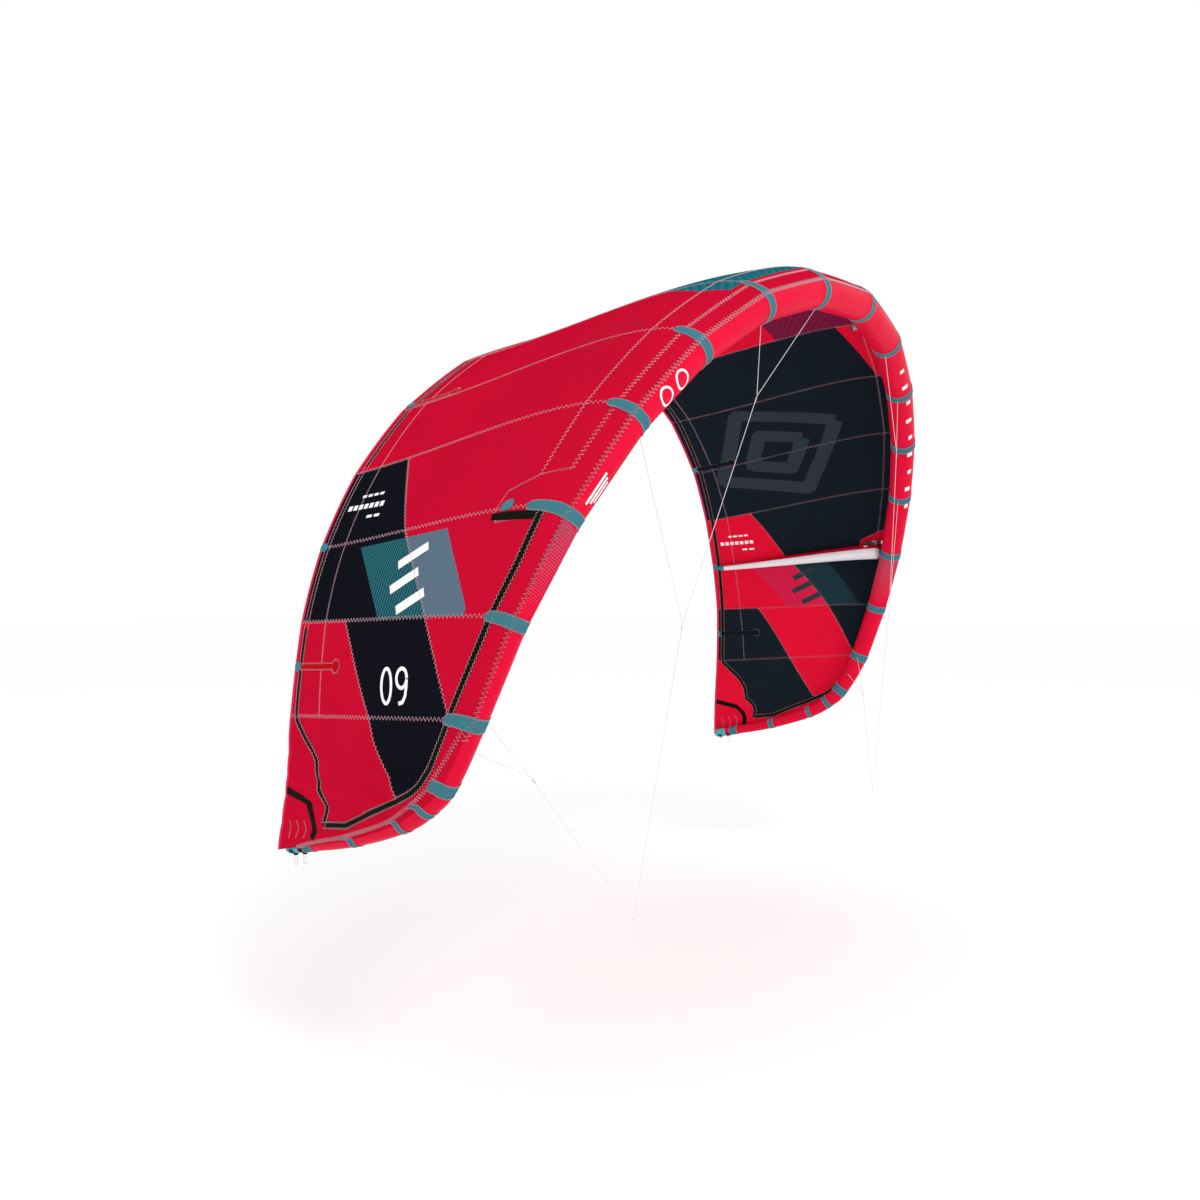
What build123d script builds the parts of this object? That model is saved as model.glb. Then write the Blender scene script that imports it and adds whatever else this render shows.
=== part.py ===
from build123d import *
import os
from math import cos, radians, sin

# Inflatable kitesurf kite, about 9 square metres, in millimetres.
# X runs along the span, Y along the chord from the leading edge to the trailing edge, Z is up.
# The origin is on the leading edge tube's centreline, in the middle of the kite.

os.makedirs("parts", exist_ok=True)

# ---- plan of the kite -------------------------------------------------------------------------
LE_HALF_WIDTH = 2026  # the arch of the leading edge, half an ellipse seen from the front
LE_RISE = 1838
LE_ANGLES = (0, 14.9, 28.5, 41.6, 53.6, 66.2, 77.8, 88.3)  # chordwise seams, from the middle out
LE_SWEEP = 664  # how far the leading edge has gone back at the last of those seams
SWEEP_POWER = 1.75
TE_HALF_WIDTH = 1931  # the arch of the trailing edge
TE_RISE = 1903
TE_CENTRE_Z = -1847
TE_FLATTENING = 55  # how far the arch's top lies under a full ellipse
TE_ANGLES = (0, 15.4, 31.5, 46, 58, 69, 78.6, 90)
CENTRE_CHORD = 1526
TE_SWEEP = 160
SWEPT_AT = 7  # index of the last straight seam, where the wing tip starts

# The tip's leading edge is a Bezier curve that turns back to the trailing edge.
TIP_CORNER = (2019, 808, -2163)
TIP_HEEL = (1983, 1041, -2235)
TIP_END = (1931, 1687, -2373)
TIP_TRAILING = (1931, 1722, -2382)
TIP_KNOTS = (0.25, 0.38, 0.52, 0.75, 0.93)  # the bands along the tip's curve
TIP_TAILS = (0.28, 0.44, 0.60, 0.80, 1.0)  # and how far down the tip's trailing edge each faces

# ---- tube, canopy and struts --------------------------------------------------------------------
TUBE_RADIUS = 71.5
TUBE_RADIUS_SEAM = 54  # at the last straight seam
TUBE_RADIUS_TIP = 25
SLEEVE_WALL = 1.0
BLADDER_WALL = 0.8
CLEAR = 1.5  # air between a sleeve and the bladder in it
BAND_WALL = 1.2
BAND_WIDTH = 46
BAND_WIDTH_TIP = 30
CANOPY_THICKNESS = 3.0
CANOPY_GAP = 2.5  # between the tube's top and the canopy's underside
CAMBER = 72  # height of the canopy's bulge above a straight line, in the middle
CAMBER_ENDS_AT = 95  # degrees round the arch
PROFILE = (0, 0.04, 0.12, 0.25, 0.45, 0.7)  # chord fractions that shape the canopy
TAPE_WIDTH = 14
TAPE_THICKNESS = 4.0
STRUT_NOSE_RADIUS = 42
STRUT_TAIL_RADIUS = 17
STRUT_CAP = 40
STRUT_GAP = 4  # between a strut and the canopy over it
BATTEN = (290, 12, 2.5)  # length, width, thickness

# ---- fittings -----------------------------------------------------------------------------------
LINE_RADIUS = 1.2
KNOT_RADIUS = 5
RING_ARC = 14  # radius of a bridle line's bend at a knot
WHIPPING = (6, 22)  # from the knot, length
LOOP_RADIUS = 1.6
VALVE_AT = 150  # along the leading edge from the middle
HOSE_RADIUS = 9
HOSE_START = 9  # from the leading edge tube to the hose's mouth
HOSE_RUN = 95
HOSE_LEAN = 27  # from the strut's side to the hose's centreline
HOSE_HEIGHT = 30
HOSE_BEND = 17

SIDES = {"left": -1, "right": 1}


def save(name, piece):
    """Labels a finished piece and writes its file."""
    piece.part.label = name
    export_step(piece.part, f"parts/{name}.step")


def bezier(points, t):
    """A point on the cubic Bezier curve with those control points."""
    a, b, c, d = (Vector(*p) for p in points)
    return a * (1 - t) ** 3 + b * 3 * t * (1 - t) ** 2 + c * 3 * t**2 * (1 - t) + d * t**3


def le_point(angle):
    """A point on the straight-seamed part of the leading edge's centreline."""
    y = LE_SWEEP * (angle / LE_ANGLES[SWEPT_AT]) ** SWEEP_POWER
    return Vector(LE_HALF_WIDTH * sin(radians(angle)), y, LE_RISE * (cos(radians(angle)) - 1))


def te_point(angle):
    """A point on the trailing edge."""
    y = CENTRE_CHORD + TE_SWEEP * (angle / 90) ** 1.5
    level = cos(radians(angle))
    z = TE_CENTRE_Z + TE_RISE * level - TE_FLATTENING * level**2
    return Vector(TE_HALF_WIDTH * sin(radians(angle)), y, z)


def right_stations():
    """Centres of the tube, its radii and the trailing edge points, from the middle to the right tip."""
    seam = le_point(LE_ANGLES[SWEPT_AT])
    tip = (tuple(seam), TIP_CORNER, TIP_HEEL, TIP_END)
    noses = [le_point(a) for a in LE_ANGLES] + [bezier(tip, t) for t in (*TIP_KNOTS, 1)]
    drop = TUBE_RADIUS - TUBE_RADIUS_SEAM
    radii = [TUBE_RADIUS - drop * (a / LE_ANGLES[SWEPT_AT]) ** 2 for a in LE_ANGLES]
    radii += [TUBE_RADIUS_SEAM + (TUBE_RADIUS_TIP - TUBE_RADIUS_SEAM) * t for t in (*TIP_KNOTS, 1)]
    tails = [te_point(a) for a in TE_ANGLES]
    end = Vector(*TIP_TRAILING)
    tails += [tails[SWEPT_AT] + (end - tails[SWEPT_AT]) * t for t in TIP_TAILS]
    bulge = [CAMBER * (1 - (a / CAMBER_ENDS_AT) ** 2.2) for a in LE_ANGLES]
    bulge += [bulge[SWEPT_AT] * (1 - t) for t in TIP_KNOTS]
    return noses, radii, tails, bulge


NOSES, RADII, TAILS, BULGE = right_stations()
LAST_RIB = len(TAILS) - 1
LAST_RING = len(NOSES) - 1


class Rib:
    """A chordwise section of one wing: its axes, the tube's ring and the canopy's profile."""

    def __init__(self, index, side):
        flip = Vector(side, 1, 1)
        noses = [Vector(p.X * flip.X, p.Y, p.Z) for p in NOSES]
        self.nose, self.radius, self.side = noses[index], RADII[index], side
        inner = noses[index - 1] if index else Vector(-noses[1].X, noses[1].Y, noses[1].Z)
        outer = noses[min(index + 1, LAST_RING)]
        self.along = (self.nose - inner).normalized()
        if index < LAST_RING:
            self.along = (self.along + (outer - self.nose).normalized()).normalized()
        tail = TAILS[min(index, LAST_RIB)]
        self.tail = Vector(tail.X * side, tail.Y, tail.Z)
        chord = self.tail - self.nose
        self.chord, self.back = chord.length, chord.normalized()
        self.out = (self.along.cross(self.back) * side).normalized()
        if index >= LAST_RIB:  # the chord has turned along the tube
            self.out = Rib(LAST_RIB - 1, side).out
            self.out = (self.out - self.back * self.out.dot(self.back)).normalized()
        self.bulge = BULGE[min(index, LAST_RIB)]
        # At the tip the cloth lies outside the tube all the way to the trailing edge.
        knot = TIP_KNOTS[min(index, LAST_RIB) - SWEPT_AT - 1] if index > SWEPT_AT else 0
        self.lift = (knot / TIP_KNOTS[-1]) ** 3

    def ring_plane(self, shift=0):
        """The plane across the tube, moved along it."""
        return Plane(self.nose + self.along * shift, x_dir=self.out, z_dir=self.along)

    def chord_plane(self):
        """The plane that holds the section: x runs back along the chord, y outwards."""
        return Plane(self.nose, x_dir=self.back, z_dir=self.back.cross(self.out))

    def top(self, u):
        """Height of the canopy's outer face at a chord fraction."""
        start = self.radius + CANOPY_GAP + CANOPY_THICKNESS
        return start * (1 - u * (1 - self.lift)) + self.bulge * u**0.6 * (1 - u) ** 2 / 0.2455

    def at(self, s, h):
        """The point s along the chord and h outwards."""
        return self.nose + self.back * s + self.out * h

    def under(self, s, depth):
        """The point at s along the chord, that deep under the canopy's outer face."""
        return self.at(s, self.top(s / self.chord) - depth)


WINGS = {name: [Rib(i, side) for i in range(LAST_RING + 1)] for name, side in SIDES.items()}


# ---- leading edge tube --------------------------------------------------------------------------
def tube(rings, gap, wall):
    """A hollow tube of straight stretches through the rings, gap inside their radius."""
    with BuildPart() as shell:
        for shrink, mode in ((gap, Mode.ADD), (gap + wall, Mode.SUBTRACT)):
            for near, far in zip(rings, rings[1:]):
                for rib in (near, far):
                    with BuildSketch(rib.ring_plane()):
                        Circle(rib.radius - shrink)
                loft(ruled=True, mode=mode)
    return shell


# The stretches between bands, grouped as the sleeve's panels.
LE_GROUPS = {"inner": (1, 2), "middle": (2, 3), "shoulder": (3, 5), "outer": (5, 7)}

for side_name, ribs in WINGS.items():
    for group, (first, last) in LE_GROUPS.items():
        save(f"leading_edge_{group}_{side_name}", tube(ribs[first : last + 1], 0, SLEEVE_WALL))

    with BuildPart() as le_tip:
        add(tube(ribs[SWEPT_AT:], 0, SLEEVE_WALL).part)
        with BuildSketch(ribs[-1].ring_plane()):
            Circle(ribs[-1].radius)
        extrude(amount=SLEEVE_WALL)
    save(f"leading_edge_tip_{side_name}", le_tip)

valve_rib = WINGS["right"][0]
valve_out = (valve_rib.back * cos(radians(35)) - valve_rib.out * sin(radians(35))).normalized()
valve_along = (WINGS["right"][1].nose - valve_rib.nose).normalized()
valve_out = (valve_out - valve_along * valve_out.dot(valve_along)).normalized()
valve_radius = RADII[0] + (RADII[1] - RADII[0]) * VALVE_AT / NOSES[1].length
valve_plane = Plane(
    valve_rib.nose + valve_along * VALVE_AT + valve_out * (valve_radius + 0.5),
    x_dir=valve_along,
    z_dir=valve_out,
)
VALVE_NECK = 14

with BuildPart() as le_centre:
    for ribs in WINGS.values():
        add(tube(ribs[:2], 0, SLEEVE_WALL).part)
    with BuildSketch(valve_plane.offset(-20)):
        Circle(VALVE_NECK + 0.5)
    extrude(amount=30, mode=Mode.SUBTRACT)
save("leading_edge_centre", le_centre)

with BuildPart() as le_bladder:
    for ribs in WINGS.values():
        add(tube(ribs, SLEEVE_WALL + CLEAR, BLADDER_WALL).part)
    for ribs in WINGS.values():
        with BuildSketch(ribs[-1].ring_plane(-2)):
            Circle(ribs[-1].radius - SLEEVE_WALL - CLEAR - BLADDER_WALL / 2)
        extrude(amount=BLADDER_WALL)
save("leading_edge_bladder", le_bladder)


# ---- reinforcement bands round the tube at every seam -------------------------------------------
def band(near, rib, far, width):
    """A short sleeve over the tube that bends with it at a seam."""
    with BuildPart() as ring:
        for grow, mode in ((0.3 + BAND_WALL, Mode.ADD), (0.3, Mode.SUBTRACT)):
            for other in (near, far):
                step = other.nose - rib.nose
                share = width / 2 / step.length
                radius = rib.radius + (other.radius - rib.radius) * share
                with BuildSketch(rib.ring_plane()):
                    Circle(rib.radius + grow)
                centre = rib.nose + step * share
                with BuildSketch(Plane(centre, x_dir=rib.out, z_dir=rib.along)):
                    Circle(radius + grow)
                loft(ruled=True, mode=mode)
    return ring


for side_name, ribs in WINGS.items():
    with BuildPart() as bands:
        for i in range(1, LAST_RING):
            width = BAND_WIDTH if i <= SWEPT_AT else BAND_WIDTH_TIP
            add(band(ribs[i - 1], ribs[i], ribs[i + 1], width).part)
        if side_name == "left":
            middle = (WINGS["left"][1], ribs[0], WINGS["right"][1])
            add(band(*middle, BAND_WIDTH).part)
    save(f"leading_edge_bands_{side_name}", bands)


# ---- canopy -------------------------------------------------------------------------------------
def canopy_section(rib):
    """The cloth's outline at a rib, from the tube's top to the trailing edge tape."""
    end = 1 - TAPE_WIDTH / rib.chord
    steps = (*PROFILE, end)
    upper = [(u * rib.chord, rib.top(u)) for u in steps]
    lower = [(s, h - CANOPY_THICKNESS) for s, h in upper]
    with BuildSketch(rib.chord_plane()) as section:
        with BuildLine():
            Spline(*upper)
            Line(upper[-1], lower[-1])
            Spline(*lower)
            Line(lower[0], upper[0])
        make_face()
    return section.sketch


def tape_section(rib):
    """The outline of the tape along the trailing edge, behind the cloth's own edge."""
    start = rib.chord - TAPE_WIDTH
    extra = (TAPE_THICKNESS - CANOPY_THICKNESS) / 2
    top = rib.top(start / rib.chord) + extra
    with BuildSketch(rib.chord_plane()) as section:
        with BuildLine():
            Polyline(
                (start, top),
                (rib.chord, rib.top(1) + extra),
                (rib.chord, rib.top(1) + extra - TAPE_THICKNESS),
                (start, top - TAPE_THICKNESS),
                close=True,
            )
        make_face()
    return section.sketch


for side_name, ribs in WINGS.items():
    for i in range(LAST_RIB):
        if i < SWEPT_AT:
            with BuildPart() as panel:
                loft([canopy_section(ribs[i]), canopy_section(ribs[i + 1])], ruled=True)
            save(f"canopy_panel_{i + 1}_{side_name}", panel)
    with BuildPart() as tip_panel:
        for near, far in zip(ribs[SWEPT_AT:LAST_RIB], ribs[SWEPT_AT + 1 :]):
            loft([canopy_section(near), canopy_section(far)], ruled=True)
    save(f"canopy_tip_{side_name}", tip_panel)
    with BuildPart() as tape:
        for near, far in zip(ribs[:LAST_RIB], ribs[1:]):
            loft([tape_section(near), tape_section(far)], ruled=True)
    save(f"trailing_edge_tape_{side_name}", tape)


# ---- struts -------------------------------------------------------------------------------------
class Strut:
    """An inflated rib under the canopy: stations along its centreline, with their radii."""

    def __init__(self, rib, count=8):
        self.rib = rib
        self.first = rib.radius + 12
        self.last = rib.chord - TAPE_WIDTH - 12
        self.stations = [self.first + (self.last - self.first) * i / count for i in range(count + 1)]

    def radius(self, s):
        share = (s - self.first) / (self.last - self.first)
        return STRUT_NOSE_RADIUS + (STRUT_TAIL_RADIUS - STRUT_NOSE_RADIUS) * share

    def centre(self, s):
        return self.rib.under(s, CANOPY_THICKNESS + STRUT_GAP + self.radius(s))

    def plane(self, s):
        heading = (self.centre(s + 5) - self.centre(s - 5)).normalized()
        return Plane(self.centre(s), x_dir=heading.cross(self.rib.along), z_dir=heading)

    def shell(self, stations, gap, wall):
        with BuildPart() as skin:
            for shrink, mode in ((gap, Mode.ADD), (gap + wall, Mode.SUBTRACT)):
                for near, far in zip(stations, stations[1:]):
                    for s in (near, far):
                        with BuildSketch(self.plane(s)):
                            Circle(self.radius(s) - shrink)
                    loft(ruled=True, mode=mode)
        return skin


STRUTS = {
    "centre": Strut(WINGS["right"][0]),
    "left": Strut(WINGS["left"][5]),
    "right": Strut(WINGS["right"][5]),
}

for name, strut in STRUTS.items():
    body = strut.stations[:-1] + [strut.last - STRUT_CAP]
    save(f"strut_{name}", strut.shell(body, 0, SLEEVE_WALL))

with BuildPart() as strut_bladders:
    for strut in STRUTS.values():
        inside = [strut.first + 3, *strut.stations[1:-1], strut.last - STRUT_CAP - 4]
        add(strut.shell(inside, SLEEVE_WALL + CLEAR, BLADDER_WALL).part)
        for s in (inside[0], inside[-1]):
            with BuildSketch(strut.plane(s)):
                Circle(strut.radius(s) - SLEEVE_WALL - CLEAR - BLADDER_WALL / 2)
            extrude(amount=BLADDER_WALL if s == inside[0] else -BLADDER_WALL)
save("strut_bladders", strut_bladders)

with BuildPart() as strut_caps:
    for strut in STRUTS.values():
        start = strut.last - STRUT_CAP + 0.5
        for s, radius in ((start, strut.radius(start)), (strut.last, STRUT_TAIL_RADIUS * 0.6)):
            with BuildSketch(strut.plane(s)):
                Circle(radius)
        loft(ruled=True)
save("strut_tail_caps", strut_caps)


# ---- battens in pockets at the trailing edge ----------------------------------------------------
def between(near, far, share, u, depth):
    """A point under the canopy, part of the way from one rib to the next."""
    a, b = (rib.under(u * rib.chord, depth) for rib in (near, far))
    return a + (b - a) * share


BATTEN_PLACES = ((2, 3, 0.93), (6, 7, 0.47))

with BuildPart() as battens:
    for ribs in WINGS.values():
        for near, far, share in BATTEN_PLACES:
            length, width, thick = BATTEN
            depth = CANOPY_THICKNESS + 4 + thick / 2
            chord = ribs[near].chord * (1 - share) + ribs[far].chord * share
            tail = between(ribs[near], ribs[far], share, 1 - 20 / chord, depth)
            head = between(ribs[near], ribs[far], share, 1 - (20 + length) / chord, depth)
            out = ribs[near].out * (1 - share) + ribs[far].out * share
            with BuildSketch(Plane(head, x_dir=out, z_dir=(tail - head).normalized())):
                Rectangle(thick, width)
            extrude(amount=(tail - head).length)
save("battens", battens)


# ---- inflation valve ----------------------------------------------------------------------------
FLANGE = (21, 3)  # radius, thickness
TOWER = 13
CAP = (15, 5)
HINGE_X = 20  # from the valve's middle to the cap's hinge pin

with BuildPart() as valve_body:
    with BuildSketch(valve_plane):
        Circle(FLANGE[0])
    extrude(amount=FLANGE[1])
    with BuildSketch(valve_plane.offset(-2.6)):
        Circle(VALVE_NECK)
    extrude(amount=2.6)
    with BuildSketch(valve_plane.offset(FLANGE[1])):
        Circle(VALVE_NECK - 1)
    extrude(amount=TOWER)
    with BuildSketch(valve_plane.offset(FLANGE[1])):
        with Locations((HINGE_X, 0)):
            Rectangle(5, 8)
    extrude(amount=TOWER - 1)
    with BuildSketch(valve_plane.offset(-2.6)):
        Circle(VALVE_NECK - 3.5)
    extrude(amount=TOWER + FLANGE[1] + 2.6, mode=Mode.SUBTRACT)
save("inflate_valve_body", valve_body)

cap_plane = valve_plane.offset(FLANGE[1] + TOWER + 0.4)
with BuildPart() as valve_cap:
    with BuildSketch(cap_plane):
        Circle(CAP[0])
        with Locations((HINGE_X / 2 + 2, 0)):
            Rectangle(HINGE_X + 1, 8)
    extrude(amount=CAP[1])
save("inflate_valve_cap", valve_cap)
cap_pin = cap_plane.from_local_coords(Vector(HINGE_X, 0, CAP[1] / 2))
print("cap hinge", [round(v / 1000, 4) for v in cap_pin], "axis", cap_plane.y_dir)
print("valve axis", valve_plane.z_dir)


# ---- transfer hoses from the leading edge to the struts, with their clips -----------------------
class Hose:
    """A short air hose beside a strut's nose, on the side that faces the kite's middle."""

    def __init__(self, strut):
        rib = strut.rib
        self.out = rib.out
        self.across = rib.out.cross(rib.back) * rib.side
        offset = STRUT_NOSE_RADIUS + HOSE_LEAN
        side = self.across * offset
        # The swept tube lies further forward beside the strut than at its nose.
        slant = rib.along.dot(self.across)
        tube_back = rib.radius / abs(slant) + offset * rib.along.dot(rib.back) / slant
        start = tube_back + HOSE_START
        end = rib.radius + HOSE_START + HOSE_RUN
        self.mouth = rib.at(start, HOSE_HEIGHT) + side
        self.elbow = strut.centre(end) + side
        self.entry = strut.centre(end) + self.across * (strut.radius(end) + 3)
        self.middle = self.mouth + (self.elbow - self.mouth) * 0.45

    def clip_plane(self):
        """At the clip's middle: x across, y in the chord's section, z along the hose."""
        return Plane(self.middle, x_dir=self.across, z_dir=(self.elbow - self.mouth).normalized())


HOSES = {name: Hose(strut) for name, strut in STRUTS.items()}

with BuildPart() as hoses:
    for hose in HOSES.values():
        with BuildLine() as path:
            FilletPolyline(hose.mouth, hose.elbow, hose.entry, radius=HOSE_BEND)
        with BuildSketch(Plane(path.line @ 0, z_dir=path.line % 0)):
            Circle(HOSE_RADIUS)
        sweep(path=path.line)
save("transfer_hoses", hoses)

CLIP = (26, 26, 24)  # across, high, along the hose
LEVER = (5, 34)  # thickness, length

with BuildPart() as clip_bodies:
    for hose in HOSES.values():
        clip = hose.clip_plane()
        with BuildSketch(clip.offset(-CLIP[2] / 2)):
            Rectangle(CLIP[0], CLIP[1])
            Circle(HOSE_RADIUS + 0.3, mode=Mode.SUBTRACT)
        extrude(amount=CLIP[2])
save("hose_clip_bodies", clip_bodies)

LEVER_HINGE = CLIP[1] / 2 + 4  # the lever's hinge, under the clip
for name, hose in HOSES.items():
    clip = hose.clip_plane()
    down = -1 if clip.y_dir.dot(hose.out) > 0 else 1
    with BuildPart() as lever:
        with BuildSketch(clip.offset(-CLIP[2] / 2)):
            with Locations((0, down * LEVER_HINGE)):
                Rectangle(CLIP[0] - 6, LEVER[0])
        extrude(amount=LEVER[1])
    save(f"hose_clip_lever_{name}", lever)
    hinge = clip.origin + clip.y_dir * (down * LEVER_HINGE) - clip.z_dir * (CLIP[2] / 2)
    print("lever hinge", name, [round(v / 1000, 4) for v in hinge], "axis", clip.x_dir * -down)

# ---- bridle: taut lines under each wing ---------------------------------------------------------
BRIDLE_KNOTS = {
    "upper": (951, 101, -574),
    "outer": (1303, 246, -1472),
    "lower": (1432, 384, -2572),
    "tip": (1816, 572, -2002),
}


def under_tube(rib, near=None, share=0.0):
    """Where a bridle line leaves the tube's inner side, at a band or between two."""
    a = rib.nose - rib.out * (rib.radius + BAND_WALL + 2)
    if near is None:
        return a
    b = near.nose - near.out * (near.radius + BAND_WALL + 2)
    return a + (b - a) * share


def line_tube(points, trim_start, trim_end):
    """A round line through the points, its ends drawn back from the knots that they meet."""
    first = (points[1] - points[0]).normalized()
    last = (points[-2] - points[-1]).normalized()
    route = [points[0] + first * trim_start, *points[1:-1], points[-1] + last * trim_end]
    with BuildPart() as cord:
        with BuildLine() as path:
            if len(route) > 2:
                FilletPolyline(*route, radius=RING_ARC)
            else:
                Line(*route)
        with BuildSketch(Plane(path.line @ 0, z_dir=path.line % 0)):
            Circle(LINE_RADIUS)
        sweep(path=path.line)
    for a, b, c in zip(route, route[1:], route[2:]):
        print("  arc radius", RING_ARC, "turn", round((b - a).get_angle(c - b), 1))
    return cord


KNOT_TRIM = KNOT_RADIUS + 0.3

for side_name, side in SIDES.items():
    ribs = WINGS[side_name]
    knots = {k: Vector(x * side, y, z) for k, (x, y, z) in BRIDLE_KNOTS.items()}
    lines = {
        "main": ([under_tube(ribs[1]), knots["upper"], knots["outer"], knots["lower"]], 0, KNOT_TRIM),
        "second": ([under_tube(ribs[2]), knots["upper"]], 0, KNOT_TRIM),
        "outer": ([under_tube(ribs[4]), knots["outer"]], 0, KNOT_TRIM),
        "lower": ([knots["lower"], knots["tip"], under_tube(ribs[7])], KNOT_TRIM, 0),
        "tip": ([knots["tip"], under_tube(ribs[7], ribs[8], 0.5)], KNOT_TRIM, 0),
    }
    for line, (points, trim_start, trim_end) in lines.items():
        print("bridle", line, side_name, "length", round(sum((b - a).length for a, b in zip(points, points[1:]))))
        save(f"bridle_{line}_{side_name}", line_tube(points, trim_start, trim_end))
    with BuildPart() as knot_group:
        with Locations(knots["lower"]):
            Sphere(KNOT_RADIUS)
        # A whipping holds each side line to the line that runs on through the knot.
        for start, end in (("upper", "outer"), ("outer", "lower"), ("tip", "lower")):
            run = (knots[end] - knots[start]).normalized()
            with BuildSketch(Plane(knots[start] + run * WHIPPING[0], z_dir=run)):
                Circle(LINE_RADIUS + 1.5)
                Circle(LINE_RADIUS + 0.3, mode=Mode.SUBTRACT)
            extrude(amount=WHIPPING[1])
    save(f"bridle_knots_{side_name}", knot_group)

# ---- loops for the back lines, at the wing tips -------------------------------------------------
LOOP_DROP = 42
LOOP_GAP = 14
LOOP_CLEAR = 8  # between the tube and the loops' ends
LOOP_SHIFTS = (-95, -35)  # along the tip from its end

for side_name, ribs in WINGS.items():
    end = ribs[-1]
    run = (ribs[-1].nose - ribs[LAST_RIB].nose).normalized()
    with BuildPart() as loops:
        for shift in LOOP_SHIFTS:
            foot = end.nose + run * shift
            low = foot.Z - end.radius - LOOP_CLEAR
            a = Vector(foot.X, foot.Y - LOOP_GAP / 2, low)
            b = Vector(foot.X, foot.Y + LOOP_GAP / 2, low)
            down = Vector(0, 0, -LOOP_DROP)
            with BuildLine() as path:
                FilletPolyline(a, a + down, b + down, b, radius=LOOP_GAP / 2 - 0.01)
            with BuildSketch(Plane(path.line @ 0, z_dir=path.line % 0)):
                Circle(LOOP_RADIUS)
            sweep(path=path.line)
    save(f"back_line_loops_{side_name}", loops)
    print("loops hinge", side_name, [round(v / 1000, 4) for v in (a + b) / 2])
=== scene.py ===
from math import cos, pi, radians, sin

import bmesh
import bpy
import numpy as np
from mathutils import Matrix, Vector


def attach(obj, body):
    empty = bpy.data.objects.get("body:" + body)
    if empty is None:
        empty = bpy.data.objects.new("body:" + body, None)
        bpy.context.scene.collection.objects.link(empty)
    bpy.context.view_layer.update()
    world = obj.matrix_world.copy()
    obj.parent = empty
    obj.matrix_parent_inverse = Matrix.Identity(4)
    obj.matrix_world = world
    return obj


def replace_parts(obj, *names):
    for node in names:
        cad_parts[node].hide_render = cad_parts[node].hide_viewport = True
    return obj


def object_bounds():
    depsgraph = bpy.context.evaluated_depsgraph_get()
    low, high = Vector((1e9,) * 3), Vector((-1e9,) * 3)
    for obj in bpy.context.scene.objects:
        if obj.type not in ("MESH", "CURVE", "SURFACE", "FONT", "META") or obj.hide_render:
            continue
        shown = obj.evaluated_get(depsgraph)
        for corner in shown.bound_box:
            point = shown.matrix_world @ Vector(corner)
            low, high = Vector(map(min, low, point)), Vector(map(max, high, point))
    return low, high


# Inflatable kitesurf kite, in metres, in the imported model's frame: X along the span, Y from the
# leading edge to the trailing edge, Z up. A place on a wing is (v, u): v counts the chordwise
# seams from the middle, below zero on the left wing, and u is the share of the chord.

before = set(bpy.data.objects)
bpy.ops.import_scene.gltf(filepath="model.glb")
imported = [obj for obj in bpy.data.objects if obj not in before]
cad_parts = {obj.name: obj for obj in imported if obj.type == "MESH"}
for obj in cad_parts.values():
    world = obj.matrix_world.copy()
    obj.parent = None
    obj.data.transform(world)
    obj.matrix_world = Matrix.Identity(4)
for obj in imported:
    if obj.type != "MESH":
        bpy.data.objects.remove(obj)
CAD_LOW, CAD_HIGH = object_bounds()

# ---- plan of the kite ---------------------------------------------------------------------------
LE_HALF_WIDTH = 2.026
LE_RISE = 1.838
LE_ANGLES = (0, 14.9, 28.5, 41.6, 53.6, 66.2, 77.8, 88.3)
LE_SWEEP = 0.664
SWEEP_POWER = 1.75
TE_HALF_WIDTH = 1.931
TE_RISE = 1.903
TE_CENTRE_Z = -1.847
TE_FLATTENING = 0.055
TE_ANGLES = (0, 15.4, 31.5, 46, 58, 69, 78.6, 90)
CENTRE_CHORD = 1.526
TE_SWEEP = 0.160
SWEPT_AT = 7  # the last straight seam
TIP_CORNER = (2.019, 0.808, -2.163)
TIP_HEEL = (1.983, 1.041, -2.235)
TIP_END = (1.931, 1.687, -2.373)
TIP_TRAILING = (1.931, 1.722, -2.382)
TIP_KNOTS = (0.25, 0.38, 0.52, 0.75, 0.93)
TIP_TAILS = (0.28, 0.44, 0.60, 0.80, 1.0)
TUBE_RADIUS = 0.0715
TUBE_RADIUS_SEAM = 0.054
TUBE_RADIUS_TIP = 0.025
CANOPY_RISE = 0.0055  # the canopy's outer face over the tube's top, in the frame
CLOTH = 0.003  # the canopy's thickness in the frame
CAMBER = 0.072
CAMBER_ENDS_AT = 95
BULGE_PEAK = 0.2455  # the greatest value of w**0.6 * (1 - w)**2

# ---- looks of the cloth -------------------------------------------------------------------------
SHEET = 0.0012  # thickness of the sewn canopy
JOINT_ANGLE = 44  # where the canopy meets the tube, in degrees forward of its top
JOINT_U = -0.045  # the cloth's first row, at the joint
SETTLED_U = 0.08  # from here back the cloth follows the frame's profile
PANEL_PUFF = 0.006  # how far a panel fills between two seams
STRUT_CREASE = 0.003
TE_ALLOWANCE = 0.017  # extra share of the chord on the sides, where the cloth stretches back
STRUT_SEAMS = (0, 5)
COLUMNS = 10  # of the cloth's grid, from one seam to the next
ROWS = 52
TUBE_SIDES = 48
TUBE_PUFF = 0.012  # share of the radius

LINE = 0.0024  # diameter of a bridle line
LOOP_LINE = 0.0032

SEAM_COUNT = 7 + len(TIP_KNOTS)  # the outermost seam's number
RING_COUNT = SEAM_COUNT + 1
MIRROR = np.array((-1.0, 1.0, 1.0))


def unit(a):
    return a / np.linalg.norm(a, axis=-1, keepdims=True)


def distances(points):
    """How far along a line each of its points is."""
    return np.concatenate([[0], np.cumsum(np.linalg.norm(np.diff(points, axis=0), axis=-1))])


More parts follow.
